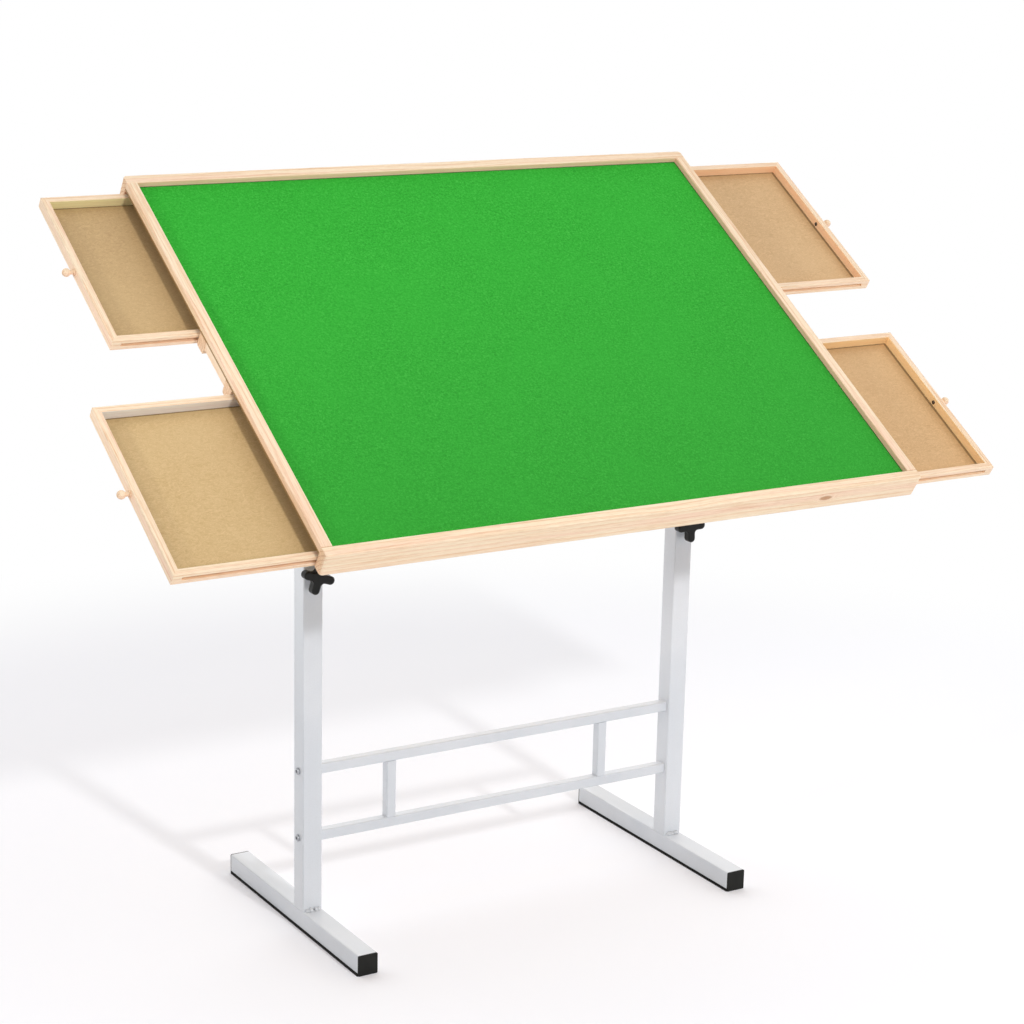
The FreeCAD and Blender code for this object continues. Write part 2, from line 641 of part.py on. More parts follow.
def tilt_plate(label, side):
    """An angle plate in the board's directions, with its origin on the pivot axis at the tube's face.

    The web hangs beside the tube with the pivot hole and the curved lock slot. The flange under the
    mid bars points to the middle of the table."""
    inward = "-" if side > 0 else ""
    web_sketch_x = inward + "plate_gap"
    rim = "(slot_radius + slot_margin)"
    under_flange = "(pivot_below + bar_lift - plate_thick)"
    body = start_body(label)
    web = start_sketch(body, "YZ_Plane", web_sketch_x)
    points = [
        ("-web_front", under_flange),
        ("-%s * sin(rim_end)" % rim, "-%s * cos(rim_end)" % rim),
        ("%s * sin(rim_start)" % rim, "-%s * cos(rim_start)" % rim),
        ("web_back", under_flange),
    ]
    add_plate_outline(web, points, rim)
    pad(body, web, "plate_thick", backwards=side > 0)
    low, high = "plate_gap", "plate_gap + flange_width"
    x_span = (low, high) if side < 0 else ("-(%s)" % high, "-(%s)" % low)
    flange = start_sketch(body, "XY_Plane", under_flange)
    reach = "(mid_gap / 2 - flange_inset)"
    add_rectangle(flange, x_span[0], x_span[1], "-%s - pivot_behind" % reach, "%s - pivot_behind" % reach)
    pad(body, flange, "plate_thick")
    # pivot hole, then the slot: a round hole at each end and a groove swept about the pivot between them
    holes = start_sketch(body, "YZ_Plane")
    add_circle(holes, "0", "0", "stud + 2 * thread_gap")
    cut(body, holes)
    for angle in ("0", "steepest"):
        slot_end = start_sketch(body, "YZ_Plane")
        add_circle(slot_end, "-slot_radius * sin(%s)" % angle, "-slot_radius * cos(%s)" % angle,
                   "stud + 2 * slot_gap")
        cut(body, slot_end)
    sweep = start_sketch(body, "XZ_Plane")
    half_slot = "(stud / 2 + slot_gap)"
    near, far = "0", "plate_thick + 2 * plate_gap"
    sweep_x = (near, far) if side < 0 else ("-(%s)" % far, near)
    add_rectangle(sweep, sweep_x[0], sweep_x[1], "-slot_radius - " + half_slot, "-slot_radius + " + half_slot)
    before = body.Shape.Volume
    slot = body.newObject("PartDesign::Groove", "Slot")
    slot.Profile = sweep
    slot.ReferenceAxis = (sweep, ["H_Axis"])
    slot.Reversed = True
    slot.setExpression("Angle", formula("steepest"))
    doc.recompute()
    if not body.Shape.Volume < before - 1:
        raise RuntimeError("the slot in %s cuts nothing" % label)
    # two screw holes into each mid bar
    bar_middle = "(mid_gap / 2 - drawer_clear - bar_width / 2)"
    for share in ("0.35", "0.78"):
        for row in ("-", ""):
            screw = start_sketch(body, "XY_Plane", "pivot_below + bar_lift")
            across = "%s(plate_gap + flange_width * %s)" % (inward, share)
            add_circle(screw, across, "%s%s - pivot_behind" % (row, bar_middle), "plate_screw")
            cut(body, screw, "plate_thick")
    return body


def add_plate_outline(sketch, points, rim):
    """Four corners joined by lines, with an arc about the origin between the second and the third."""
    start = [V(-3, 2, 0), V(-2, -2, 0), V(1, -math.sqrt(7), 0), V(2, 2, 0)]
    first_angle = math.atan2(start[1].y, start[1].x)
    last_angle = math.atan2(start[2].y, start[2].x)
    circle = Part.Circle(V(0, 0, 0), Z_AXIS, start[1].Length)
    edges = [
        Part.LineSegment(start[0], start[1]),
        Part.ArcOfCircle(circle, first_angle, last_angle),
        Part.LineSegment(start[2], start[3]),
        Part.LineSegment(start[3], start[0]),
    ]
    ids = sketch.addGeometry(edges, False)
    for k in range(4):
        sketch.addConstraint(Sketcher.Constraint("Coincident", ids[k], 2, ids[(k + 1) % 4], 1))
    sketch.addConstraint(Sketcher.Constraint("Coincident", ids[1], 3, -1, 1))
    radius = sketch.addConstraint(Sketcher.Constraint("Radius", ids[1], start[1].Length))
    sketch.setExpression("Constraints[%d]" % radius, formula(rim))
    fix(sketch, "DistanceX", ids[0], 1, start[0].x, points[0][0])
    fix(sketch, "DistanceY", ids[0], 1, start[0].y, points[0][1])
    fix(sketch, "DistanceX", ids[0], 2, start[1].x, points[1][0])
    fix(sketch, "DistanceX", ids[2], 1, start[2].x, points[2][0])
    fix(sketch, "DistanceX", ids[2], 2, start[3].x, points[3][0])
    fix(sketch, "DistanceY", ids[2], 2, start[3].y, points[3][1])


for name, side in SIDES:
    web_x = side * (leg_x - half_inner)
    keep(tilt_plate(name + "_tilt_plate", side), pivot_place * at(web_x, 0, 0))


# ---------------------------------------------------------------- board

half_long = "board_length / 2"
half_deep = "board_depth / 2"
inside_long = "(board_length / 2 - rail_width)"
inside_deep = "(board_depth / 2 - rail_width)"
panel_top = "-(felt_recess + felt_thick)"
panel_bottom = "-(felt_recess + felt_thick + panel_thick)"
below_panel = "-(felt_recess + felt_thick + panel_thick + drawer_drop)"
bay_edge = "(mid_gap / 2 - drawer_clear)"
bar_inside = "(mid_gap / 2 - drawer_clear - bar_width)"
bar_bottom = "-board_thick + bar_lift"

# front and back rails, full height and full length, with rounded corners and a stopped panel groove
for name, side in (("front", -1), ("back", 1)):
    edge, inside = ("-" + half_deep, "-" + inside_deep) if side < 0 else (inside_deep, half_deep)
    rail = block(name + "_rail", ("-" + half_long, half_long), (edge, inside), ("-board_thick", "0"))
    outer_face = side * size("board_depth") / 2
    fillet(rail, "board_corner", lambda edge: runs(edge, Z_AXIS) and level(edge, Y_AXIS, outer_face))
    top_edges = lambda edge: level(edge, Z_AXIS, 0) or level(edge, Z_AXIS, -size("board_thick"))
    fillet(rail, "edge_round", top_edges)
    groove = ("-(%s) - groove_depth" % inside_deep, "-" + inside_deep)
    if side > 0:
        groove = (inside_deep, inside_deep + " + groove_depth")
    reach = "%s + groove_depth" % inside_long
    cut_block(rail, ("-(%s)" % reach, reach), groove, (panel_bottom, panel_top))
    keep(rail, board_place)

# shallow side rails between them, glued on the panel
for name, side in SIDES:
    span = (inside_long, half_long) if side > 0 else ("-" + half_long, "-" + inside_long)
    rail = block(name + "_side_rail", span, ("-" + inside_deep, inside_deep), (panel_top, "0"))
    fillet(rail, "edge_round", lambda edge: runs(edge, Y_AXIS) and level(edge, Z_AXIS, 0))
    keep(rail, board_place)

# The panel's ends show under the side rails. Its long edges lie in the grooves, which stop short of
# the front and back rails' ends.
panel_end = "(%s - panel_inset)" % half_long
panel = block("board_panel", ("-" + panel_end, panel_end), ("-" + inside_deep, inside_deep),
              (panel_bottom, panel_top))
tongue_end = "(%s + groove_depth - panel_play)" % inside_long
tongue_edge = "(%s + groove_depth - panel_play)" % inside_deep
tongue = start_sketch(panel, "XY_Plane", panel_bottom)
add_rectangle(tongue, "-" + tongue_end, tongue_end, "-" + tongue_edge, tongue_edge)
pad(panel, tongue, "panel_thick")
keep(panel, board_place)
felt = block("felt_surface", ("-" + inside_long, inside_long), ("-" + inside_deep, inside_deep),
             (panel_top, "-felt_recess"))
keep(felt, board_place)

# mid bars from end to end under the panel
for name, side in (("front", -1), ("back", 1)):
    span = ("-" + bay_edge, "-" + bar_inside) if side < 0 else (bar_inside, bay_edge)
    bar = block(name + "_mid_bar", ("-" + half_long, half_long), span, (bar_bottom, panel_bottom))
    lowest = size("bar_lift") - size("board_thick")
    fillet(bar, "bar_round", lambda edge: runs(edge, X_AXIS) and level(edge, Z_AXIS, lowest))
    keep(bar, board_place)

# fillers that close the space between the mid bars at the board's ends
filler_end = "%s - filler_inset" % half_long
filler = block("end_filler", (filler_end + " - filler_width", filler_end), ("-" + bar_inside, bar_inside),
               (panel_bottom + " - filler_height", panel_bottom))
keep_group("end_fillers", [(filler, board_place * at(turn=turn)) for turn in (NO_TURN, HALF_TURN)])

# ribs between the left and right drawers, under the panel
front_rib = block("front_rib", ("-rib_width / 2", "rib_width / 2"), ("-" + inside_deep, "-" + bay_edge),
                  (bar_bottom, panel_bottom))
keep_group("centre_ribs", [(front_rib, board_place), (front_rib, board_place * at(turn=HALF_TURN))])

# Runner strips on the rails and mid bars at each drawer's mouth. A drawer's grooves slide on them, and
# the groove's two ends meet the strip when the drawer is shut and when it is fully open.
runner_top = below_panel + " - (drawer_height - run_height) / 2 - runner_gap"
runner_bottom = "%s - run_height + 2 * runner_gap" % runner_top
runner_end = "%s - run_front - runner_gap" % half_long
runner = block("runner", ("%s - runner_length" % runner_end, runner_end),
               (bay_edge, "mid_gap / 2 + run_depth - runner_gap"), (runner_bottom, runner_top))
bay_width = size("board_depth") / 2 - size("rail_width") - (size("mid_gap") / 2 - size("drawer_clear"))
bay_middle = size("mid_gap") / 2 - size("drawer_clear") + bay_width / 2
mirror_in_bay = at(0, 2 * bay_middle, 0) * FreeCAD.Placement(V(), FreeCAD.Rotation(X_AXIS, 180))
runner_flip = at(0, 0, 2 * (runner.Shape.BoundBox.Center.z))
runner_places = []
for turn in (NO_TURN, HALF_TURN):
    half_board = board_place * at(turn=turn)
    runner_places.append((runner, half_board))
    runner_places.append((runner, half_board * runner_flip * mirror_in_bay))
other_half = block("runner_left", ("-(%s)" % runner_end, "-(%s - runner_length)" % runner_end),
                   (bay_edge, "mid_gap / 2 + run_depth - runner_gap"), (runner_bottom, runner_top))
for turn in (NO_TURN, HALF_TURN):
    half_board = board_place * at(turn=turn)
    runner_places.append((other_half, half_board))
    runner_places.append((other_half, half_board * runner_flip * mirror_in_bay))
keep_group("drawer_runners", runner_places)


# ---------------------------------------------------------------- drawers

# Each drawer is modelled with its front face at x = 0, its length along -X and its top at z = 0.
drawer_long = "(board_length / 2 - rib_width / 2 - drawer_end_gap)"
drawer_wide = "(board_depth / 2 - rail_width - mid_gap / 2 - drawer_clear)"
half_wide = "(%s / 2)" % drawer_wide
wall_inside = "(%s - drawer_wall)" % half_wide
floor_edge = "(%s - drawer_wall + floor_lap)" % half_wide
floor_top = "-drawer_height + drawer_floor"
floor_front = "-drawer_wall + floor_lap"


def drawer_pull(label):
    """A turned wooden pull along +X: collar, neck and ball."""
    body = start_body(label)
    collar = start_sketch(body, "YZ_Plane")
    add_circle(collar, "0", "0", "pull_base")
    pad(body, collar, "pull_collar")
    neck = start_sketch(body, "YZ_Plane")
    add_circle(neck, "0", "0", "pull_neck")
    pad(body, neck, "pull_length - pull_ball / 2")
    ball = start_sketch(body, "XY_Plane")
    add_half_disc(ball, "pull_length - pull_ball / 2", "pull_ball / 2")
    turned = body.newObject("PartDesign::Revolution", "Ball")
    turned.Profile = ball
    turned.ReferenceAxis = (ball, ["H_Axis"])
    turned.Angle = 360
    doc.recompute()
    pilot = start_sketch(body, "YZ_Plane")
    add_circle(pilot, "0", "0", "pull_pilot")
    cut(body, pilot, "pull_pilot_depth", backwards=True)
    return body


def add_half_disc(sketch, middle, radius):
    """The upper half of a disc centred on the sketch's horizontal axis."""
    ids = sketch.addGeometry([
        Part.ArcOfCircle(Part.Circle(V(5, 0, 0), Z_AXIS, 1), 0, math.pi),
        Part.LineSegment(V(4, 0, 0), V(6, 0, 0)),
    ], False)
    sketch.addConstraint(Sketcher.Constraint("Coincident", ids[0], 2, ids[1], 1))
    sketch.addConstraint(Sketcher.Constraint("Coincident", ids[0], 1, ids[1], 2))
    sketch.addConstraint(Sketcher.Constraint("PointOnObject", ids[1], 1, -1))
    sketch.addConstraint(Sketcher.Constraint("PointOnObject", ids[1], 2, -1))
    size_index = sketch.addConstraint(Sketcher.Constraint("Radius", ids[0], 1.0))
    sketch.setExpression("Constraints[%d]" % size_index, formula(radius))
    fix(sketch, "DistanceX", ids[1], 1, 4.0, "%s - %s" % (middle, radius))


def build_drawer(name, place):
    """Front and sides meet in mitres. All four walls stand on the floor's rebated edge."""
    full_height = ("-drawer_height", "0")
    front = mitred(name + "_front", [("0", "-" + half_wide), ("0", half_wide), ("-drawer_wall", wall_inside),
                                     ("-drawer_wall", "-" + wall_inside)], full_height)
    fillet(front, "drawer_round", lambda edge: level(edge, Z_AXIS, 0) and runs(edge, Y_AXIS))
    cut_block(front, ("-drawer_wall", floor_front), ("-" + floor_edge, floor_edge),
              ("-drawer_height", floor_top))
    screw_hole = start_sketch(front, "YZ_Plane")
    add_circle(screw_hole, "0", "-drawer_height / 2", "pull_screw_hole")
    cut(front, screw_hole)
    keep(front, place)

    for end, sign in (("low", "-"), ("high", "")):
        wall = mitred("%s_%s_side" % (name, end), [
            ("0", sign + half_wide), ("-" + drawer_long, sign + half_wide),
            ("-" + drawer_long, sign + wall_inside), ("-drawer_wall", sign + wall_inside)], full_height)
        fillet(wall, "drawer_round", lambda edge: level(edge, Z_AXIS, 0) and runs(edge, X_AXIS))
        lap = (wall_inside, floor_edge) if end == "high" else ("-" + floor_edge, "-" + wall_inside)
        cut_block(wall, ("-" + drawer_long, floor_front), lap, ("-drawer_height", floor_top))
        run = ("%s - run_depth" % half_wide, half_wide)
        if end == "low":
            run = ("-" + half_wide, "-(%s - run_depth)" % half_wide)
        cut_block(wall, ("-%s + run_back" % drawer_long, "-run_front"), run,
                  ("-(drawer_height + run_height) / 2", "-(drawer_height - run_height) / 2"))
        keep(wall, place)

    back = block(name + "_back", ("-" + drawer_long, "-%s + drawer_wall" % drawer_long),
                 ("-" + wall_inside, wall_inside), (floor_top, "0"))
    fillet(back, "drawer_round", lambda edge: level(edge, Z_AXIS, 0) and runs(edge, Y_AXIS))
    keep(back, place)

    floor = block(name + "_floor", ("-" + drawer_long, floor_front), ("-" + floor_edge, floor_edge),
                  ("-drawer_height", floor_top))
    keep(floor, place)

    keep(drawer_pull(name + "_pull"), place * at(0, 0, -size("drawer_height") / 2))


drawer_top = -sum(size(name) for name in ("felt_recess", "felt_thick", "panel_thick", "drawer_drop"))
for name, side in SIDES:
    for row, slope in (("back", 1), ("front", -1)):
        pulled = size("%s_%s_pull" % (row, name))
        drawer_place = at(side * (half_length + pulled), slope * bay_middle, drawer_top, outward(side))
        build_drawer("%s_%s_drawer" % (row, name), board_place * drawer_place)


# ---------------------------------------------------------------- check and write

doc.recompute()
for item in doc.Objects:
    if "Invalid" in item.State or "Error" in item.State:
        raise RuntimeError("%s failed: %s" % (item.Label, item.State))
for node in nodes:
    if node.Shape.isNull() or not node.Shape.isValid():
        raise RuntimeError("%s has no valid shape" % node.Label)

os.makedirs("parts", exist_ok=True)
for node in nodes:
    node.Shape.exportStep("parts/%s.step" % node.Label)
whole = Part.makeCompound([node.Shape for node in nodes])
box = whole.BoundBox
print("%d nodes, %.1f x %.1f x %.1f mm" % (len(nodes), box.XLength, box.YLength, box.ZLength))
print("outline from %.2f to %.2f along X, %.2f to %.2f along Y" % (box.XMin, box.XMax, box.YMin, box.YMax))
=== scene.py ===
# %% [markdown]
# # Looks for a jigsaw puzzle table
# The table is a tilting pine board with a green felt top and four sorting drawers, on a white
# steel stand. Its solid pieces arrive already shaped and in place. This lesson gives each one its
# finish, makes the felt, the weld beads, a black strip of painted shadow under the feet and the
# small screws, and sets up a plain studio.

# %% Load the table
import json
import math
import random

import bmesh
import bpy
from mathutils import Matrix, Vector


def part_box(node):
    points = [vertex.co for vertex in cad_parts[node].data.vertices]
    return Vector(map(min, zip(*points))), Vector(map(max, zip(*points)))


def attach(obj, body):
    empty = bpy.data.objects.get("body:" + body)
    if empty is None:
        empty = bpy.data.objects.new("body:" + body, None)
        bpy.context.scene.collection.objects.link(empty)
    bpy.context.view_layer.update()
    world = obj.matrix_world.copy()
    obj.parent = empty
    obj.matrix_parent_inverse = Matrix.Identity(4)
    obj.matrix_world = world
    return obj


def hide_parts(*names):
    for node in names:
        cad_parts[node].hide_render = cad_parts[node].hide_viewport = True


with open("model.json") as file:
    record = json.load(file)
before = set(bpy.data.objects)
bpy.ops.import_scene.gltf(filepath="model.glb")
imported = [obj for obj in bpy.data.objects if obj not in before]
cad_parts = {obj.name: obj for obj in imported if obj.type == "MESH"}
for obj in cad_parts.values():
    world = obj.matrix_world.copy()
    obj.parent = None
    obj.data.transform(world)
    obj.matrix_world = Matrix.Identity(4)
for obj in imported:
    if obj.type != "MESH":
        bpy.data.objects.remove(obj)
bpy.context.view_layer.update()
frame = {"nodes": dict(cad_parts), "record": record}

nodes = frame["nodes"]

# %% [markdown]
# ## The board's own directions
# The board is tilted, so its planks and their grain don't run along X, Y and Z. The record names
# the felt as a mount, with the middle of its top and the direction square to it. From those two
# come the direction up the slope, and a helper that turns "across, up the slope, above the felt"
# into a place.

# %% Board directions
felt_mount = next(m for m in frame["record"]["mounts"] if m["name"] == "work_surface")
felt_middle = Vector(felt_mount["pos_m"])
board_up = Vector(felt_mount["axis"]).normalized()
board_across = Vector((1, 0, 0))
up_slope = board_up.cross(board_across)


def on_board(across, up, above=0.0):
    """A place given by its distances across the board, up the slope and above the felt."""
    return felt_middle + board_across * across + up_slope * up + board_up * above


print("tilt", round(math.degrees(math.asin(up_slope.z)), 1), "degrees")

# %% [markdown]
# ## Camera
# A camera looks along its own -Z. It is easiest to aim it by a heading, a dip and a small roll,
# and to build its matrix from the three directions that these give. The lens is long and the
# camera stands well back, so the table's parallel edges draw together only a little.

# %% Where the camera looks
HEADING, DIP, ROLL = math.radians(31.389), math.radians(14.397), math.radians(1.301)
flat = math.cos(DIP)
ahead = Vector((math.sin(HEADING) * flat, math.cos(HEADING) * flat, -math.sin(DIP)))
level_right = Vector((math.cos(HEADING), -math.sin(HEADING), 0))
level_up = level_right.cross(ahead)
right = level_right * math.cos(ROLL) + level_up * math.sin(ROLL)
up = level_up * math.cos(ROLL) - level_right * math.sin(ROLL)
print("looks along", [round(c, 3) for c in ahead])

# %% Camera
CAMERA_PLACE = (-1.7791, -2.8997, 1.4593)
LENS, SENSOR, FARTHEST = 86.96, 36, 200
camera = bpy.data.objects.new("Camera", bpy.data.cameras.new("Camera"))
bpy.context.scene.collection.objects.link(camera)
camera.data.lens = LENS
camera.data.sensor_width = SENSOR
camera.data.clip_end = FARTHEST
turned = Matrix((right, up, -ahead)).transposed().to_4x4()
camera.matrix_world = Matrix.Translation(CAMERA_PLACE) @ turned
bpy.context.scene.camera = camera
print("lens", camera.data.lens, "mm")

# %% [markdown]
# ## Colours
# A paint card gives a colour as it looks on a screen, from 0 to 255. Blender counts light itself,
# which is not the same scale: the middle of the card is only a fifth of the light. One helper
# changes a card's colour to light, so that every finish below can be written as on the card.

# %% Colours
def card(red, green, blue):
    """A screen colour, 0 to 255, as light, with full opacity."""
    shares = [c / 255 for c in (red, green, blue)]
    return (*[s / 12.92 if s <= 0.04 else ((s + 0.055) / 1.055) ** 2.4 for s in shares], 1.0)


print("middle grey is", round(card(128, 128, 128)[0], 3), "of the light")

# %% [markdown]
# ## Nodes
# A finish is a small network of nodes that ends in one main shader. Four helpers keep the recipes
# short: start a finish, fill or join one input, add a node with its inputs, and set the main
# shader.

# %% Start a finish
def start_finish(name):
    """A new material with its nodes switched on."""
    finish = bpy.data.materials.new(name)
    finish.use_nodes = True
    return finish


def join(finish, node, socket, value):
    """Give one input a plain value, or join it to another node's output."""
    if isinstance(value, bpy.types.NodeSocket):
        finish.node_tree.links.new(value, node.inputs[socket])
    else:
        node.inputs[socket].default_value = value


# %% Add nodes
def add(finish, kind, settings=None, **inputs):
    """A node of one kind, with its settings and its named inputs."""
    node = finish.node_tree.nodes.new("ShaderNode" + kind)
    for key, value in (settings or {}).items():
        setattr(node, key, value)
    for key, value in inputs.items():
        join(finish, node, key.replace("_", " "), value)
    return node


def shade(finish, **inputs):
    """Set inputs of the main shader."""
    for key, value in inputs.items():
        join(finish, finish.node_tree.nodes["Principled BSDF"], key.replace("_", " "), value)


# %% [markdown]
# ## Patterns
# Most surfaces here are made of the same few things: a noise, a ramp that turns its grey into
# colours, a mix of two colours, a bump from a grey, and places stretched so that a pattern grows
# long in one direction. All sizes are in metres. A noise's scale says how often it changes in a
# metre, so 2000 is a grain of half a millimetre, and a bump of 0.00003 stands up three hundredths
# of one.

# %% Noise and ramp
def noise(finish, place, scale, detail=2.0, roughness=0.5, distortion=0.0):
    """A soft random grey, about 0.3 to 0.7. A greater scale makes it finer."""
    node = add(finish, "TexNoise", Vector=place, Scale=scale, Detail=detail, Roughness=roughness,
               Distortion=distortion)
    return node.outputs["Fac"]


def ramp(finish, factor, stops):
    """A colour ramp. Each stop is a position and a colour."""
    node = add(finish, "ValToRGB", Fac=factor)
    band = node.color_ramp.elements
    while len(band) < len(stops):
        band.new(0.5)
    for element, (position, colour) in zip(band, stops):
        element.position = position
        element.color = colour
    return node.outputs["Color"]


# %% Sum and mix
def sum_of(finish, operation, first, second=0.0, third=0.0):
    """One sum with plain numbers, such as ADD or MAXIMUM."""
    node = add(finish, "Math", {"operation": operation})
    for socket, value in enumerate((first, second, third)):
        join(finish, node, socket, value)
    return node.outputs[0]


def mix(finish, share, first, second, way="MIX"):
    """Two colours mixed, with a share of the second one."""
    node = add(finish, "Mix", {"data_type": "RGBA", "blend_type": way})
    for socket, value in ((0, share), (6, first), (7, second)):
        join(finish, node, socket, value)
    return node.outputs[2]


# %% Vector and bump
def vector_of(finish, operation, first, second, third=(0, 0, 0)):
    """One sum with places or directions."""
    node = add(finish, "VectorMath", {"operation": operation})
    for socket, value in enumerate((first, second, third)):
        join(finish, node, socket, value)
    return node.outputs["Value" if operation in ("DISTANCE", "LENGTH", "DOT_PRODUCT") else "Vector"]


def relief(finish, height, depth, strength=1.0, under=None):
    """A bump, on top of another one if there is one."""
    node = add(finish, "Bump", Height=height, Distance=depth, Strength=strength)
    if under is not None:
        join(finish, node, "Normal", under)
    return node.outputs["Normal"]


def between(finish, value, low, high, from_low=0.0, to_high=1.0):
    """A smooth step from one value to another, as value goes from low to high."""
    node = add(finish, "MapRange", {"interpolation_type": "SMOOTHSTEP"}, Value=value)
    ends = {"From Min": low, "From Max": high, "To Min": from_low, "To Max": to_high}
    for socket, amount in ends.items():
        join(finish, node, socket, amount)
    return node.outputs["Result"]


# %% Put a finish on
def dress(finish, *names):
    """Give a finish to solid pieces."""
    for name in names:
        slots = nodes[name].data.materials
        slots.clear()
        slots.append(finish)
    print(finish.name, "on", len(names), "pieces")


# %% [markdown]
# ## Where a plank's grain runs
# A plank is sawn along the trunk, so its pattern must be drawn in its own directions, from its
# own middle. The helper measures the middle from the plank's corners and turns every place and
# face direction into "along the grain, and the two ways across it".

# %% Own directions
def own_places(finish, name, grain, side):
    """Places and face directions of a piece in its own directions, with the grain along X."""
    ways = (grain, side, grain.cross(side))
    middle = Vector()
    for way in ways:
        reach = [way.dot(corner.co) for corner in nodes[name].data.vertices]
        middle += way * (min(reach) + max(reach)) / 2
    turn = Matrix(ways).transposed().to_euler()
    seen = add(finish, "TexCoord").outputs
    found = []
    for vector in (vector_of(finish, "SUBTRACT", seen["Object"], middle), seen["Normal"]):
        rotate = {"rotation_type": "EULER_XYZ", "invert": True}
        found.append(add(finish, "VectorRotate", rotate, Vector=vector, Rotation=turn).outputs[0])
    return found


# %% [markdown]
# ## Pine: the yearly rings
# A tree adds a ring each year: a wide pale band of spring wood that ends in a thin darker line of
# summer wood. Drawn as long cylinders about a line beside the plank, the rings give slow lines on
# the faces, flame shapes where a face cuts them flat, and arcs on the ends, with nothing painted
# by hand. A tree is never straight, so a slow noise makes the rings wander along the plank.

# %% Yearly rings
WANDER, WANDERS_PER_METRE = 0.016, (2.6, 7, 7)
BOARD_RING = 0.0052


def yearly_rings(finish, place, ring, beside):
    """0 to 1 across each year's wood, from a ring's width and the way to the rings' middle."""
    stretched = vector_of(finish, "MULTIPLY", place, WANDERS_PER_METRE)
    slow = add(finish, "TexNoise", Vector=stretched, Scale=1.0, Detail=2.0).outputs["Color"]
    bent = vector_of(finish, "MULTIPLY_ADD", slow, (0, WANDER, WANDER), place)
    about = vector_of(finish, "ADD", bent, (0, *beside))
    rings = {"wave_type": "RINGS", "rings_direction": "X", "wave_profile": "SAW"}
    scale = 2 * math.pi / (20 * ring)
    return add(finish, "TexWave", rings, Vector=about, Scale=scale, Distortion=0.0).outputs["Fac"]


# %% [markdown]
# ## Pine: knots
# A knot is the foot of a branch. Around it the rings swing aside, and its heart is dark and hard.
# A soft spot, longer along the grain, first pushes the places aside and later darkens the colour.

# %% Knots
KNOT_SQUEEZE = Vector((0.4, 1, 1))
PUSH_BESIDE, PUSH_ABOVE = 0.009, 0.006


def knot_spot(finish, place, spot, width):
    """1 in the heart of a knot, falling to 0 at its edge."""
    squeezed = vector_of(finish, "MULTIPLY", place, KNOT_SQUEEZE)
    gap = vector_of(finish, "DISTANCE", squeezed, Vector(spot) * KNOT_SQUEEZE)
    return between(finish, gap, 0.0, width, 1.0, 0.0)


def push_aside(finish, place, spot):
    """Move the places round a knot, so that the rings swing aside."""
    beside = sum_of(finish, "MULTIPLY", spot, PUSH_BESIDE)
    above = sum_of(finish, "MULTIPLY", spot, PUSH_ABOVE)
    away = add(finish, "CombineXYZ", Y=beside, Z=above).outputs[0]
    return vector_of(finish, "ADD", place, away)


# %% [markdown]
# ## Pine: colour
# Three noises lie over the rings: broad bands of warmer wood, streaks a few millimetres wide, and
# the fibres themselves. The streaks and fibres are multiplied in, because they only ever darken
# the wood. Each is stretched: its three numbers say how often it changes in a metre, along the
# grain and across.

# %% Pine colour
WHITE = (1, 1, 1, 1)
PINE_PALE, PINE_WARM, PINE_LINE = card(252, 230, 200), card(249, 220, 186), card(238, 196, 156)
PINE_PINK, STREAK_DARK, FIBRE_DARK = card(250, 214, 187), card(242, 226, 212), card(232, 222, 210)
PINE_YEAR = ((0.0, PINE_PALE), (0.5, PINE_PALE), (0.86, PINE_WARM), (0.95, PINE_LINE),
             (1.0, PINE_PALE))
BANDS, STREAKS, FIBRES = (2.5, 75, 75), (9, 380, 380), (70, 2400, 2400)


def pine_faces(finish, place, rings):
    """The colour of a plank's long faces, and its fibres."""
    year = ramp(finish, rings, PINE_YEAR)
    band = noise(finish, vector_of(finish, "MULTIPLY", place, BANDS), 1.0, 3.0)
    warm = mix(finish, between(finish, band, 0.42, 0.72, 0.0, 0.8), year, PINE_PINK)
    streak = noise(finish, vector_of(finish, "MULTIPLY", place, STREAKS), 1.0, 3.0, 0.6)
    darker = ramp(finish, streak, ((0.34, STREAK_DARK), (0.5, WHITE)))
    streaked = mix(finish, 0.8, warm, darker, "MULTIPLY")
    fibre = noise(finish, vector_of(finish, "MULTIPLY", place, FIBRES), 1.0, 2.0, 0.6)
    fine = ramp(finish, fibre, ((0.32, FIBRE_DARK), (0.56, WHITE)))
    return mix(finish, 0.7, streaked, fine, "MULTIPLY"), fibre


# %% [markdown]
# ## Pine: end grain
# A saw cut across the fibres leaves open pores that drink the varnish, so ends are darker and
# warmer, with dots instead of lines. A face belongs to an end when it looks along the grain.

# %% End grain
END_PALE, END_LINE, PORE_DARK = card(243, 211, 176), card(222, 178, 138), card(206, 172, 138)
END_YEAR = ((0.0, END_PALE), (0.6, END_PALE), (0.93, END_LINE), (1.0, END_PALE))
PORES = (40, 1100, 1100)


def pine_ends(finish, place, rings):
    """The colour of a sawn end, with its rings and pores."""
    year = ramp(finish, rings, END_YEAR)
    pore = noise(finish, vector_of(finish, "MULTIPLY", place, PORES), 1.0, 2.0, 0.7)
    dots = ramp(finish, pore, ((0.36, PORE_DARK), (0.56, WHITE)))
    return mix(finish, 0.6, year, dots, "MULTIPLY")


def looks_along_grain(finish, facing):
    """1 on a plank's ends, 0 on its long faces."""
    along = add(finish, "SeparateXYZ", Vector=facing).outputs["X"]
    return between(finish, sum_of(finish, "ABSOLUTE", along), 0.7, 0.92)
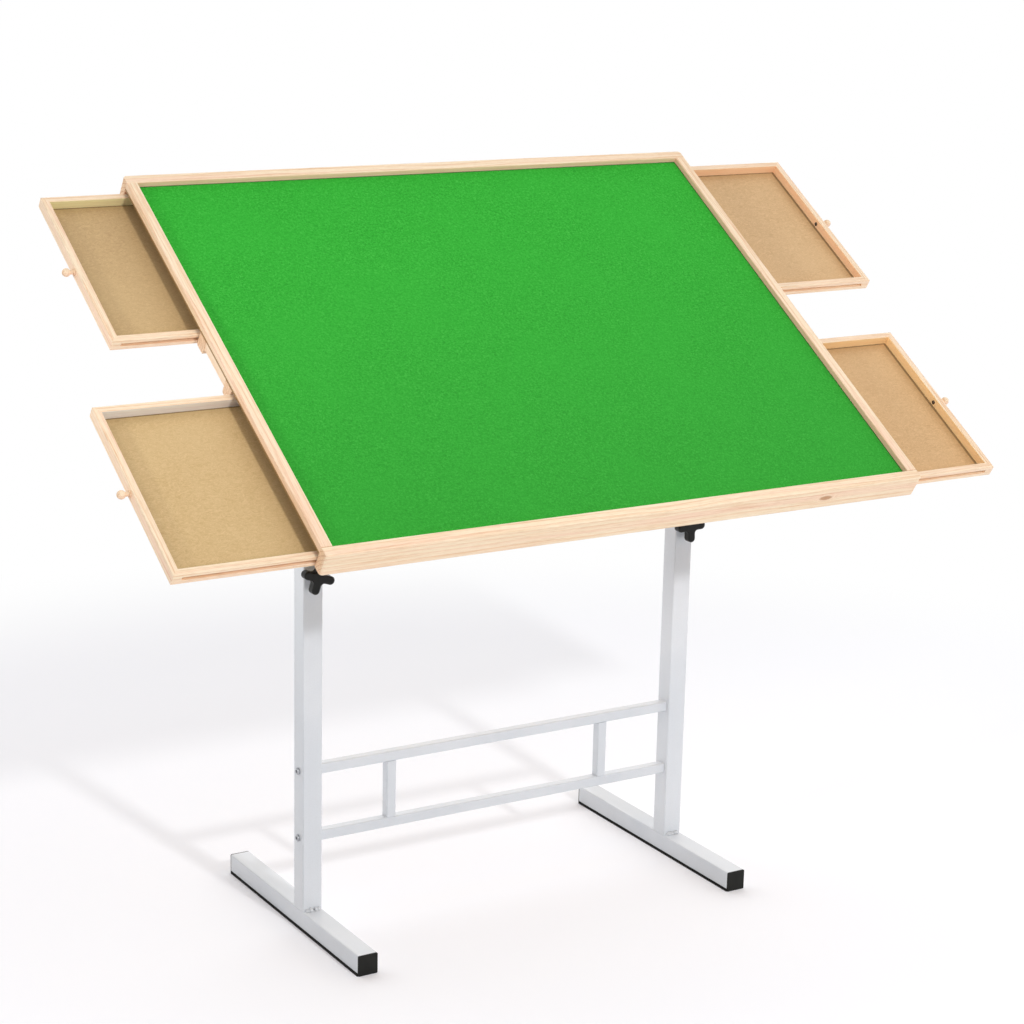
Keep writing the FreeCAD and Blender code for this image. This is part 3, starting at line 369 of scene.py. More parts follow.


# %% [markdown]
# ## Pine: painted light on inner faces
# The inner faces get painted light and shade. A face's direction tells whether it is the inner
# one, and its colour is then drawn towards a tone that stands in for the light and shade that fall
# there, and for the felt's green bounce.

# %% Inner faces
def paint_face_light(finish, wood, facing, look, tone, share):
    """Draw the faces that look one way, in the plank's own directions, towards a tone of painted
    light and shade.
    """
    towards = vector_of(finish, "DOT_PRODUCT", facing, look)
    face_light_painted = mix(finish, 0.35, tone, wood, "MULTIPLY")
    return mix(finish, between(finish, towards, 0.7, 0.9, 0.0, share), wood, face_light_painted)


# %% [markdown]
# ## Pine: all together
# Every plank is cut from its own place in the tree, so each gets its own distance to the middle
# of the rings. The steps are rings, fibres, knots, painted light and shade on the inner faces,
# and at last the ends.

# %% Pine
KNOT_HEART = card(176, 116, 66)
planks = random.Random(11)


def pine(name, grain, side, ring=BOARD_RING, knots=(), inner=()):
    """A plank's whole finish. Each inner face has the way it looks, a tone of painted light and
    shade, and its strength.
    """
    finish = start_finish("pine_" + name)
    place, facing = own_places(finish, name, grain, side)
    spots = [knot_spot(finish, place, spot, width) for spot, width in knots]
    for spot in spots:
        place = push_aside(finish, place, spot)
    beside = (planks.choice((-1, 1)) * planks.uniform(0.018, 0.036), planks.uniform(-0.034, 0.034))
    rings = yearly_rings(finish, place, ring, beside)
    wood, fibre = pine_faces(finish, place, rings)
    for spot in spots:
        wood = mix(finish, between(finish, spot, 0.35, 0.8, 0.0, 0.75), wood, KNOT_HEART)
    # Inner faces are drawn towards a tone of painted light and shade.
    for look, tone, share in inner:
        own = [look.dot(way) for way in (grain, side, grain.cross(side))]
        wood = paint_face_light(finish, wood, facing, own, tone, share)
    ends = pine_ends(finish, place, rings)
    wood = mix(finish, looks_along_grain(finish, facing), wood, ends)
    hair = relief(finish, fibre, 0.00005, 0.6, relief(finish, rings, 0.00006, 0.5))
    rough = sum_of(finish, "MULTIPLY_ADD", fibre, 0.18, 0.42)
    shade(finish, Base_Color=wood, Roughness=rough, Normal=hair, Specular_IOR_Level=0.4)
    return finish


# %% [markdown]
# ## Dress the board's planks
# The front and back rails and the mid bars run across the board, the side rails and fillers up
# the slope. Two of them have a small knot, given by its place from the plank's middle and its
# width.

# %% Board planks
FRONT_KNOT = (((0.304, -0.008, 0.001), 0.009),)
BAR_KNOT = (((-0.41, 0.0, -0.010), 0.008),)
# Painted light and shade on the rails' inner faces, which also cancels the felt's green bounce.
RAIL_INNER_LIGHT_PAINT, BACK_INNER_LIGHT_PAINT = card(238, 196, 172), card(255, 214, 188)
dress(pine("front_rail", board_across, up_slope, knots=FRONT_KNOT), "front_rail")
back_finish = pine("back_rail", board_across, up_slope, inner=((-up_slope, BACK_INNER_LIGHT_PAINT, 0.8),))
dress(back_finish, "back_rail")
for name, look in (("left_side_rail", board_across), ("right_side_rail", -board_across)):
    dress(pine(name, up_slope, board_up, inner=((look, RAIL_INNER_LIGHT_PAINT, 0.9),)), name)
dress(pine("front_mid_bar", board_across, up_slope, knots=BAR_KNOT), "front_mid_bar")
dress(pine("back_mid_bar", board_across, up_slope), "back_mid_bar")
dress(pine("drawer_runners", board_across, up_slope), "drawer_runners")
for name in ("centre_ribs", "end_fillers"):
    dress(pine(name, up_slope, board_up), name)

# %% [markdown]
# ## Dress the drawers' planks
# A drawer's sides run across the board and its front and back up the slope, with narrower rings,
# because thin strips are cut from slow-grown wood. Their inner faces get painted light and shade,
# each drawer its own tone. A drawer on the left is the same one turned round, so it is measured
# which of its sides lies higher. The round pulls are turned from the same pine.

# %% Drawer planks
STRIP_RING, PULL_RING = 0.0042, 0.0018
# Tones of painted light and shade for each drawer's inner faces.
DRAWER_LIGHT_PAINT = {"back_left_drawer": card(236, 234, 180), "front_left_drawer": card(232, 236, 238),
                "back_right_drawer": card(255, 214, 172), "front_right_drawer": card(255, 222, 164)}
for drawer, tone in DRAWER_LIGHT_PAINT.items():
    to_back = board_across if "left" in drawer else -board_across
    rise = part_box(drawer + "_high_side")[0].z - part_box(drawer + "_low_side")[0].z
    to_high = up_slope * math.copysign(1, rise)
    strips = (("_low_side", board_across, up_slope, to_high),
              ("_high_side", board_across, up_slope, -to_high),
              ("_front", up_slope, board_up, to_back),
              ("_back", up_slope, board_up, -to_back))
    for part, grain, side, look in strips:
        planed = pine(drawer + part, grain, side, STRIP_RING, inner=((look, tone, 0.85),))
        dress(planed, drawer + part)
    dress(pine(drawer + "_pull", board_across, up_slope, PULL_RING), drawer + "_pull")

# %% [markdown]
# ## Hardboard
# The drawer floors and the panel under the felt are hardboard: wood fibres pressed flat. It has
# no grain, only a tan ground with short fibres that curl in all directions. A noise with some
# distortion gives the curls, a slow one the clouds, and a very fine one the pressed fibres. Shade
# falls where a floor meets the walls, so a thin dark line of painted shade is drawn there, with a
# faint painted shade beside it, at the walls' own distance. A floor's edge lies in the walls'
# groove, so its measure is taken off first. The panel has no walls on it, and its line is simply
# put far outside it.

# %% Distance to the edges
def edge_distance(finish, place, half_x, half_y):
    """How far a place lies inside the nearest edge of a rectangle."""
    seen = add(finish, "SeparateXYZ", Vector=place).outputs
    along = sum_of(finish, "SUBTRACT", half_x, sum_of(finish, "ABSOLUTE", seen["X"]))
    beside = sum_of(finish, "SUBTRACT", half_y, sum_of(finish, "ABSOLUTE", seen["Y"]))
    return sum_of(finish, "MINIMUM", along, beside)


# %% Painted shade along the walls
def painted_wall_shade(finish, place, half_x, half_y):
    """Painted shade: a dark line two millimetres wide at the walls, and a faint shade of two
    centimetres.
    """
    near = edge_distance(finish, place, half_x, half_y)
    line = between(finish, near, 0.0006, 0.0024, 0.8, 0.0)
    return sum_of(finish, "MAXIMUM", line, between(finish, near, 0.0, 0.02, 0.22, 0.0))


# %% Hardboard
FLECK_DARK, WALL_SHADE = card(226, 214, 196), card(104, 84, 52)


def hardboard(name, walls, dark, light):
    """Pressed fibre board. walls are the half distances between the walls that stand on it."""
    finish = start_finish("hardboard_" + name)
    place = own_places(finish, name, board_across, up_slope)[0]
    line = painted_wall_shade(finish, place, *walls)
    shifted = vector_of(finish, "ADD", place, (planks.uniform(-3, 3), planks.uniform(-3, 3), 0))
    drawn_out = vector_of(finish, "MULTIPLY", shifted, (0.7, 1.25, 1))
    curl = noise(finish, drawn_out, 150.0, 5.0, 0.62, 2.4)
    ground = ramp(finish, curl, ((0.3, dark), (0.7, light)))
    cloud = between(finish, noise(finish, shifted, 7.0, 3.0), 0.35, 0.7, 0.0, 0.35)
    fine = noise(finish, shifted, 1500.0, 2.0)
    flecks = ramp(finish, fine, ((0.36, FLECK_DARK), (0.6, WHITE)))
    flecked = mix(finish, 0.5, mix(finish, cloud, ground, light), flecks, "MULTIPLY")
    pressed = relief(finish, fine, 0.00004, 0.5, relief(finish, curl, 0.00012, 0.5))
    # Painted shade along the walls.
    colour = mix(finish, line, flecked, WALL_SHADE)
    shade(finish, Base_Color=colour, Roughness=0.52, Normal=pressed, Specular_IOR_Level=0.35)
    return finish


# %% Drawer floors
IN_GROOVE = 0.0045
low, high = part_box("front_left_drawer_back")
WALL_THICK = high.x - low.x
FLOOR_TONES = {"back_left_drawer": (card(190, 156, 110), card(214, 184, 134)),
               "front_left_drawer": (card(200, 167, 113), card(223, 193, 143)),
               "back_right_drawer": (card(203, 164, 116), card(228, 192, 144)),
               "front_right_drawer": (card(204, 162, 112), card(229, 190, 140))}
for drawer, (dark, light) in FLOOR_TONES.items():
    front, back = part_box(drawer + "_front"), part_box(drawer + "_back")
    half_inside = (max(front[1].x, back[1].x) - min(front[0].x, back[0].x)) / 2 - WALL_THICK
    shelf = [up_slope.dot(corner.co) for corner in nodes[drawer + "_floor"].data.vertices]
    half_shelf = (max(shelf) - min(shelf)) / 2 - IN_GROOVE
    dress(hardboard(drawer + "_floor", (half_inside, half_shelf), dark, light), drawer + "_floor")

# %% Panel under the felt
FAR_WALLS = (9, 9)
PANEL_DARK, PANEL_LIGHT = card(150, 114, 72), card(178, 142, 96)
dress(hardboard("board_panel", FAR_WALLS, PANEL_DARK, PANEL_LIGHT), "board_panel")

# %% [markdown]
# ## White painted steel
# The stand is square tube with a hard gloss coat in a faintly cool white. Such a coat has a soft
# ripple, like orange peel, that shows only in its reflections, so it is a low bump and not a
# colour. A clear coat on top of the white gives the sharp shine, and slow clouds keep it from
# looking flat.

# %% White painted steel
COAT_GREY, COAT_WHITE = card(219, 223, 229), card(228, 231, 236)
COAT_DUST, PIT_SHADE = card(236, 236, 234), card(70, 64, 74)


def white_coat(name, pits=()):
    """Gloss white on steel. pits are places where a weld left a pinhole, painted as a dark spot of
    shade.
    """
    finish = start_finish(name)
    place = add(finish, "TexCoord").outputs["Object"]
    ripple = noise(finish, place, 380.0, 2.0)
    clouds = noise(finish, place, 7.0, 3.0)
    white = ramp(finish, clouds, ((0.35, COAT_GREY), (0.65, COAT_WHITE)))
    dust = ramp(finish, noise(finish, place, 1900.0, 1.0), ((0.3, COAT_DUST), (0.45, WHITE)))
    colour = mix(finish, 0.5, white, dust, "MULTIPLY")
    # Each pinhole is painted as a dark spot of shade.
    for pit in pits:
        gap = vector_of(finish, "DISTANCE", place, tuple(pit))
        colour = mix(finish, between(finish, gap, 0.0006, 0.0019, 0.9, 0.0), colour, PIT_SHADE)
    peel = relief(finish, ripple, 0.00003, 0.35)
    shade(finish, Base_Color=colour, Roughness=0.3, Normal=peel)
    shade(finish, Coat_Weight=1.0, Coat_Roughness=0.06, Coat_Normal=peel)
    return finish


# %% Paint the steel
gloss = white_coat("white_coat")
dress(gloss, "left_foot", "right_foot", "left_leg", "right_leg")
dress(gloss, "upper_stretcher_rail", "lower_stretcher_rail", "stretcher_posts", "clamp_weld_nuts")
dress(gloss, "left_inner_tube", "right_inner_tube", "left_tilt_plate", "right_tilt_plate")

# %% [markdown]
# ## Black plastic
# Caps, bushes and knobs are moulded in black plastic. A blasted mould leaves a fine grit on it,
# which scatters the shine, so the bump does more for the look than the colour.

# %% Black plastic
BLACK_DARK, BLACK_LIGHT = (15, 15, 13), (25, 25, 22)


def black_plastic(name, roughness, depth=1.0):
    """Moulded black. A depth above 1 makes it blacker."""
    dark, light = [card(*[c / depth for c in tone]) for tone in (BLACK_DARK, BLACK_LIGHT)]
    finish = start_finish(name)
    place = add(finish, "TexCoord").outputs["Object"]
    grit = noise(finish, place, 2200.0, 2.0)
    black = ramp(finish, noise(finish, place, 55.0, 3.0), ((0.35, dark), (0.7, light)))
    moulded = relief(finish, grit, 0.00006, 0.6)
    shade(finish, Base_Color=black, Roughness=roughness, Normal=moulded, Specular_IOR_Level=0.25)
    return finish


# %% Caps and knobs
cap_plastic = black_plastic("black_cap_plastic", 0.55)
dress(cap_plastic, "foot_end_caps", "inner_tube_plugs", "leg_bushes", "rail_end_plugs")
knob_plastic = black_plastic("black_knob_plastic", 0.38)
dress(knob_plastic, "left_height_knob", "right_height_knob")
dress(knob_plastic, "left_tilt_knob", "right_tilt_knob")

# %% [markdown]
# ## Zinc plate
# Bolts and studs are zinc plated: a bluish metal with faint cloudy patches, brighter where the
# plate is smooth. One noise drives both the colour and the roughness, so the two change together.

# %% Zinc plate
def zinc_plate(name, dark, light, dull=0.0):
    """Zinc between two greys. dull makes an old plate rougher."""
    finish = start_finish(name)
    place = add(finish, "TexCoord").outputs["Object"]
    cloud = noise(finish, place, 420.0, 4.0)
    grey = ramp(finish, cloud, ((0.3, dark), (0.7, light)))
    rough = between(finish, cloud, 0.3, 0.7, 0.45 + dull, 0.26 + dull)
    scratch = relief(finish, noise(finish, place, 2600.0, 2.0), 0.00002, 0.4)
    shade(finish, Base_Color=grey, Metallic=1.0, Roughness=rough, Normal=scratch)
    return finish


# %% Bolts and studs
plated = zinc_plate("zinc_plate", card(150, 153, 158), card(198, 200, 203))
aged = zinc_plate("aged_zinc", card(62, 52, 44), card(112, 96, 82), 0.2)
dress(plated, "stretcher_bolts", "pivot_bolts", "tilt_lock_bolts")
dress(plated, "left_height_stud", "right_height_stud")

# %% [markdown]
# ## Felt: the sheet
# The felt is glued flat on the panel and cut to the inside of the rails. A plain block would look
# like plastic, so the cloth is its own sheet: a grid of small cells whose top is uneven by about
# a tenth of a millimetre, with its cut edge turned down to the panel. First the solid felt is
# measured.

# %% Measure the felt
FELT_CELL = 0.004
corners = [corner.co - felt_middle for corner in nodes["felt_surface"].data.vertices]
half_across = max(board_across.dot(c) for c in corners)
half_up = max(up_slope.dot(c) for c in corners)
felt_thick = -min(board_up.dot(c) for c in corners)
columns, rows = round(2 * half_across / FELT_CELL), round(2 * half_up / FELT_CELL)
print("felt", round(2 * half_across, 3), "by", round(2 * half_up, 3), "m")
print(columns, "by", rows, "cells")

# %% Top of the felt
EDGE_DROP, UNEVEN = 0.0006, 0.00012
tufts = random.Random(3)
cloth = bmesh.new()
top = []
for i in range(columns + 1):
    line = []
    for j in range(rows + 1):
        edge = i in (0, columns) or j in (0, rows)
        drop = EDGE_DROP if edge else UNEVEN * tufts.random()
        across, slope = half_across * (2 * i / columns - 1), half_up * (2 * j / rows - 1)
        line.append(cloth.verts.new(on_board(across, slope, -drop)))
    top.append(line)
for i in range(columns):
    for j in range(rows):
        cloth.faces.new((top[i][j], top[i + 1][j], top[i + 1][j + 1], top[i][j + 1]))
print(len(cloth.faces), "cells")

# %% Edge and back of the felt
rim = [top[i][0] for i in range(columns)] + [top[columns][j] for j in range(rows)]
rim += [top[i][rows] for i in range(columns, 0, -1)] + [top[0][j] for j in range(rows, 0, -1)]
hem = []
for point in rim:
    above_panel = board_up.dot(point.co - felt_middle) + felt_thick
    hem.append(cloth.verts.new(point.co - board_up * above_panel))
for k in range(len(rim)):
    n = (k + 1) % len(rim)
    cloth.faces.new((rim[n], rim[k], hem[k], hem[n]))
cloth.faces.new(list(reversed(hem)))
bmesh.ops.recalc_face_normals(cloth, faces=cloth.faces)
print(len(rim), "points round the edge")


# %% [markdown]
# ## From a mesh to a piece
# Every made piece goes the same way: the mesh becomes an object, gets a finish and rides on a body
# of the table.

# %% Make a piece
def make_piece(name, mesh, finish, body, smooth=True):
    """Turn a worked mesh into a finished piece that rides on a body."""
    bmesh.ops.recalc_face_normals(mesh, faces=mesh.faces)
    data = bpy.data.meshes.new(name)
    mesh.to_mesh(data)
    mesh.free()
    for face in data.polygons:
        face.use_smooth = smooth
    data.materials.append(finish)
    piece = bpy.data.objects.new(name, data)
    bpy.context.scene.collection.objects.link(piece)
    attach(piece, body)
    print(name, len(data.polygons), "faces on", body)
    return piece


# %% [markdown]
# ## Felt: the finish
# Felt is a mat of fibres with no weave. A fine distorted noise gives the matted nap in colour and
# in height, a coarser one the tufts, and a slow one the patches where the nap lies another way. A
# little sheen lightens it where it is seen along the surface. Along the rails the cut edge is
# turned down, with a thin dark line of painted shade along it. Towards the front the felt is
# darker: painted shade, for the light that falls off over the board.

# %% Felt colours
FELT_DARK, FELT_GREEN, FELT_LIGHT = card(22, 138, 26), card(42, 173, 44), card(80, 202, 76)
FELT_PATCH, FELT_FRONT_SHADE, FELT_EDGE_SHADE = card(50, 182, 52), card(48, 118, 46), card(14, 84, 18)
FRONT_SHADE_REACH, FRONT_SHADE_SHARE = 0.42, 0.33


def felt_colour(finish, place, nap, tuft):
    """The felt's green, from its nap and tufts to the painted shade at its front and along its
    edge.
    """
    fibres = ramp(finish, nap, ((0.32, FELT_DARK), (0.5, FELT_GREEN), (0.68, FELT_LIGHT)))
    tufted = ramp(finish, tuft, ((0.3, FELT_DARK), (0.5, FELT_GREEN), (0.7, FELT_LIGHT)))
    patch = between(finish, noise(finish, place, 7.0, 3.0), 0.35, 0.7, 0.0, 0.3)
    colour = mix(finish, patch, mix(finish, 0.6, fibres, tufted), FELT_PATCH)
    # Painted shade: the felt gets darker towards the front, where the light falls off over the
    # board.
    towards_back = add(finish, "SeparateXYZ", Vector=place).outputs["Y"]
    pressed = between(finish, towards_back, -FRONT_SHADE_REACH, FRONT_SHADE_REACH, FRONT_SHADE_SHARE, 0.0)
    colour = mix(finish, pressed, colour, FELT_FRONT_SHADE)
    # Painted shade: a thin dark line along the edge, where the felt meets the rails.
    near = edge_distance(finish, place, half_across, half_up)
    return mix(finish, between(finish, near, 0.0006, 0.0022, 0.75, 0.0), colour, FELT_EDGE_SHADE)


# %% Felt finish
def felt_finish():
    """The felt's whole finish."""
    finish = start_finish("green_felt")
    place = own_places(finish, "felt_surface", board_across, up_slope)[0]
    nap = noise(finish, place, 900.0, 4.0, 0.7, 1.5)
    tuft = noise(finish, place, 330.0, 3.0, 0.6, 0.8)
    colour = felt_colour(finish, place, nap, tuft)
    height = relief(finish, nap, 0.0003, 0.7, relief(finish, tuft, 0.0003, 0.5))
    shade(finish, Base_Color=colour, Roughness=0.95, Normal=height)
    shade(finish, Specular_IOR_Level=0.12, Sheen_Weight=0.04, Sheen_Roughness=0.6)
    return finish


# %% Lay the felt
felt = make_piece("felt", cloth, felt_finish(), "board")
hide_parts("felt_surface")

# %% [markdown]
# ## Weld beads
# Each leg stands on its foot and is welded in front and behind, and the posts are welded between
# the two rails. A bead fills the corner between two faces. Its ripples lie like fallen coins,
# because the metal freezes a little at a time, so the section swells along each ripple and bows
# back in its middle. The ends taper to a point, and a small crater shows where the arc stopped.
# The left leg's beads came out lumpy, a lump each seven millimetres, with a pinhole painted as a
# dark spot of shade, and the right leg's are even. A sine makes the lumps, and it turns 900
# radians in a metre.

# %% Fullness of a bead
RIPPLE, CRATER, LUMP_TURN = 0.0021, 0.0013, 900


def fullness(far, length, crater, lumps, seed, rough):
    """How full a bead is at a distance along it, 1 where it has its whole thickness."""
    full = (0.78 + 0.22 * (far / RIPPLE % 1)) * rough.uniform(0.97, 1.03)
    full *= min(1, 5 * far / length, 5 * (1 - far / length)) ** 0.5
    dip = 0.5 * math.exp(-((far - crater) / CRATER) ** 2)
    return full * (1 - dip + lumps * math.sin(LUMP_TURN * far + seed))


# %% One weld bead
STEP, BOW = 0.0003, 0.0006
pits = []


def weld_bead(mesh, start, end, out, rise, fat, seed, lumps=0.0):
    """Lay a bead in the corner between a face that looks along rise and one along out."""
    along = (end - start).normalized()
    length = (end - start).length
    steps = round(length / STEP)
    rough = random.Random(seed)
    crater = length * rough.uniform(0.4, 0.6)
    loops = []
    for i in range(steps + 1):
        far = length * i / steps
        full = fullness(far, length, crater, lumps, seed, rough)
        loop = [mesh.verts.new(start + along * far)]
        for turn in range(0, 91, 15):
            way = out * math.cos(math.radians(turn)) + rise * math.sin(math.radians(turn))
            lag = -BOW * math.sin(math.radians(2 * turn)) * min(1, 5 * far / length)
            loop.append(mesh.verts.new(start + along * (far + lag) + way * fat * full))
        loops.append(loop)
    for one, two in zip(loops, loops[1:]):
        for k in range(len(one)):
            n = (k + 1) % len(one)
            mesh.faces.new((one[k], one[n], two[n], two[k]))
    if lumps:
        pits.append(start + along * crater + (out + rise) * 0.35 * fat)


# %% Where the legs are welded
LEG_BEAD, LEG_INSET = 0.0052, 0.0025
LUMPS = {"left_leg": 0.2, "right_leg": 0.0}
ALONG_X, ALONG_Y, ALONG_Z = Vector((1, 0, 0)), Vector((0, 1, 0)), Vector((0, 0, 1))
beads = bmesh.new()
for count, (leg, lumps) in enumerate(LUMPS.items()):
    low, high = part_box(leg)
    for behind, (face_y, out) in enumerate(((low.y, -ALONG_Y), (high.y, ALONG_Y))):
        start = Vector((low.x + LEG_INSET, face_y, low.z))
        end = start + ALONG_X * (high.x - low.x - 2 * LEG_INSET)
        weld_bead(beads, start, end, out, ALONG_Z, LEG_BEAD, 2 * count + behind, lumps)
print(len(beads.faces), "faces in the legs' beads")

# %% Where the posts are welded
POST_BEAD, POST_INSET = 0.0017, 0.0022
low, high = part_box("stretcher_posts")
post_width = high.y - low.y
for side in (-1, 1):
    outer = high.x if side > 0 else low.x
    for face_x, out in ((outer, side), (outer - side * post_width, -side)):
        for end_z, rise in ((low.z, 1), (high.z, -1)):
            start = Vector((face_x, low.y + POST_INSET, end_z))
            end = start + ALONG_Y * (post_width - 2 * POST_INSET)
            seed = round(7 + face_x * 100 + rise)
            weld_bead(beads, start, end, ALONG_X * out, ALONG_Z * rise, POST_BEAD, seed)
bmesh.ops.remove_doubles(beads, verts=beads.verts, dist=1e-6)
pit_shaded_coat = white_coat("white_coat_on_welds", pits)
make_piece("weld_beads", beads, pit_shaded_coat, "stand")

# %% [markdown]
# ## Black strip of painted shadow
# Along both lower corners of each foot runs a thin black strip: painted shadow, standing in for the
# contact shadow where the foot meets the floor. It fills the tube's round corner and reaches a
# little way up its side, where it shows as a dark line. Its section is drawn once, then pulled
# along the foot between the two caps.

# %% Section of the shadow strip
TUBE_ROUND, LIP, LIP_TOP, LIP_BEVEL, SKIN = 0.002, 0.0009, 0.0044, 0.0006, 0.00003


def shadow_strip_section():
    """Places of the section: outwards from the tube's side, and up from the floor."""
    places = [(LIP, 0.0), (LIP, LIP_TOP - LIP_BEVEL), (LIP * 0.4, LIP_TOP), (SKIN, LIP_TOP),
              (SKIN, TUBE_ROUND)]
    for turn in range(15, 90, 15):
        reach = TUBE_ROUND + SKIN
        out = reach * math.cos(math.radians(turn)) - TUBE_ROUND
        places.append((out, TUBE_ROUND - reach * math.sin(math.radians(turn))))
    return places + [(-TUBE_ROUND, 0.0)]


print(len(shadow_strip_section()), "corners in the section")

# %% Pull it along the feet
shadow_strip = bmesh.new()
for foot in ("left_foot", "right_foot"):
    low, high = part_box(foot)
    for corner_x, side in ((low.x, -1), (high.x, 1)):
        ends = []
        for y in (low.y, high.y):
            ends.append([shadow_strip.verts.new((corner_x + side * out, y, height))
                         for out, height in shadow_strip_section()])
        front_end, back_end = ends
        for k in range(len(front_end)):
            n = (k + 1) % len(front_end)
            shadow_strip.faces.new((front_end[k], front_end[n], back_end[n], back_end[k]))
        for loop in ends:
            shadow_strip.faces.new(loop)
# Painted shadow: the strip is made very black to stand in for the contact shadow under the foot.
shadow_black = black_plastic("black_contact_shadow_strip", 0.8, 3.0)
make_piece("foot_contact_shadow_strip", shadow_strip, shadow_black, "stand", smooth=False)

# %% [markdown]
# ## Screws
# A pan head is a low dome with a cross cut into it. It is made as rings of points about the
# screw's axis: each point's height comes from the dome, and points inside the cross are pushed
# down. Below the head a plain shank goes into its hole, where nobody sees the thread.

# %% Points of a screw
CROSS_HALF, CROSS_REACH, CROSS_DEEP = 0.15, 0.66, 0.55


def screw_height(x, y, radius, tall):
    """Height of a pan head above its seat at one point, with a cross cut into it."""
    out = math.hypot(x, y) / radius
    height = tall * (1 - 0.55 * out ** 2.6)
    in_cross = min(abs(x), abs(y)) < CROSS_HALF * radius and out < CROSS_REACH
    return height - (CROSS_DEEP * tall if in_cross else 0)


print("head", round(screw_height(0.003, 0.0, 0.0035, 0.002) * 1000, 2), "mm high near its edge")

# %% One screw
AROUND = 40
HEAD_SHARES = (0.0001, 0.08, 0.14, 0.2, 0.3, 0.4, 0.5, 0.6, 0.66, 0.72, 0.82, 0.92, 1.0)


def add_screw(mesh, seat, out, radius, tall, shank, length):
    """A screw with its head's seat at a place, looking along out."""
    turn = out.to_track_quat("Z", "Y").to_matrix()
    heights = [None] * len(HEAD_SHARES) + [0.25 * tall, 0.0, 0.0, -length]
    radii = [share * radius for share in HEAD_SHARES] + [radius * 1.02, radius, shank, shank]
    loops = []
    for reach, height in zip(radii, heights):
        loop = []
        for k in range(AROUND):
            angle = 2 * math.pi * k / AROUND
            x, y = reach * math.cos(angle), reach * math.sin(angle)
            z = screw_height(x, y, radius, tall) if height is None else height
            loop.append(mesh.verts.new(seat + turn @ Vector((x, y, z))))
        loops.append(loop)
    for one, two in zip(loops, loops[1:]):
        for k in range(AROUND):
            n = (k + 1) % AROUND
            mesh.faces.new((one[k], one[n], two[n], two[k]))
    mesh.faces.new(loops[0])
    mesh.faces.new(loops[-1])


# %% [markdown]
# ## Screws behind the pulls
# Each pull is held by a screw from inside the drawer, through the front and into the pull's pilot
# hole. The front's box gives the inner face, and the pull's box the height. A screw's four
# numbers are its head's radius and height, its shank's radius and its length.

# %% Pull screws
PULL_SCREW = (0.0029, 0.0016, 0.0014, 0.019)
for drawer in DRAWER_LIGHT_PAINT:
    front_low, front_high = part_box(drawer + "_front")
    pull_low, pull_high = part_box(drawer + "_pull")
    inward = 1 if "left" in drawer else -1
    inner_x = front_high.x if inward > 0 else front_low.x
    seat = Vector((inner_x, (pull_low.y + pull_high.y) / 2, (pull_low.z + pull_high.z) / 2))
    turned = bmesh.new()
    add_screw(turned, seat, ALONG_X * inward, *PULL_SCREW)
    make_piece(drawer + "_pull_screw", turned, aged, drawer)

# %% [markdown]
# ## Screws through the tilt plates
# Four screws hold each tilt plate's flange under the two mid bars. They sit in the flange's
# holes, heads down, and ride with the board.

# %% Tilt plate screws
PLATE_SCREW = (0.0040, 0.0021, 0.0018, 0.016)
FLANGE_SPOTS, FLANGE_REACH = (0.2874, 0.2754), 0.29
BAR_MIDDLE = 0.0465
plate_corners = [corner.co for corner in nodes["left_tilt_plate"].data.vertices]
flange = [c for c in plate_corners if abs(board_across.dot(c)) < FLANGE_REACH]
flange_low = min(board_up.dot(c - felt_middle) for c in flange)
plate_screws = bmesh.new()
for side in (-1, 1):
    for spot in FLANGE_SPOTS:
        for slope in (-BAR_MIDDLE, BAR_MIDDLE):
            seat = on_board(side * spot, slope, flange_low)
            add_screw(plate_screws, seat, -board_up, *PLATE_SCREW)
print("flange", round(-1000 * flange_low, 1), "mm under the felt")
make_piece("tilt_plate_screws", plate_screws, plated, "board")

# %% [markdown]
# ## Lamps
# The main lamp stands well in front of the table and a little higher than the camera, so that the
# board's top and its front face are about equally bright and the shadows fall backwards. It is
# small, so the shadows on the floor keep clear edges. A weaker one is a spot from the left. Its
# narrow beam reaches only the board and the drawers, where it brightens the inner walls and looks
# in under the side rails. Everything else is lit by the sky below.

# %% Lamps
def aimed_lamp(name, kind, place, target, watts):
    """A lamp at a place that looks at a target."""
    data = bpy.data.lights.new(name, kind)
    data.energy = watts
    lamp = bpy.data.objects.new(name, data)
    bpy.context.scene.collection.objects.link(lamp)
    lamp.location = place
    lamp.rotation_mode = "QUATERNION"
    lamp.rotation_quaternion = (Vector(target) - Vector(place)).to_track_quat("-Z", "Y")
    print(name, watts, "W")
    return data


main_lamp = aimed_lamp("Main_lamp", "AREA", (0.14, -4.25, 2.85), (0, 0, 0.5), 86)
main_lamp.shape = "DISK"
main_lamp.size = 0.3
left_beam = aimed_lamp("Left_beam", "SPOT", (-3.6, -0.7, 1.85), (0, 0, 0.9), 215)
left_beam.spot_size = math.radians(18)
left_beam.spot_blend = 0.5
left_beam.shadow_soft_size = 0.35

# %% [markdown]
# ## Sky
# A studio is lit by large white screens. Here the sky itself plays the screens: it is bright to
# the right, behind and above the table and dim to the left and in front, so the tops of the feet
# shine and their left sides stay grey, with no hard second shadow. Light that goes straight to
# the camera, or there by a shine or through glass, is told apart by the path of its ray, and
# finds plain white.

# %% Rays that are seen
def seen_rays(finish):
    """1 for what the camera sees itself, in a shine or through glass, 0 for light on things."""
    ray = add(finish, "LightPath").outputs
    mirrored = sum_of(finish, "MAXIMUM", ray["Is Glossy Ray"], ray["Is Transmission Ray"])
    return sum_of(finish, "MAXIMUM", ray["Is Camera Ray"], mirrored)


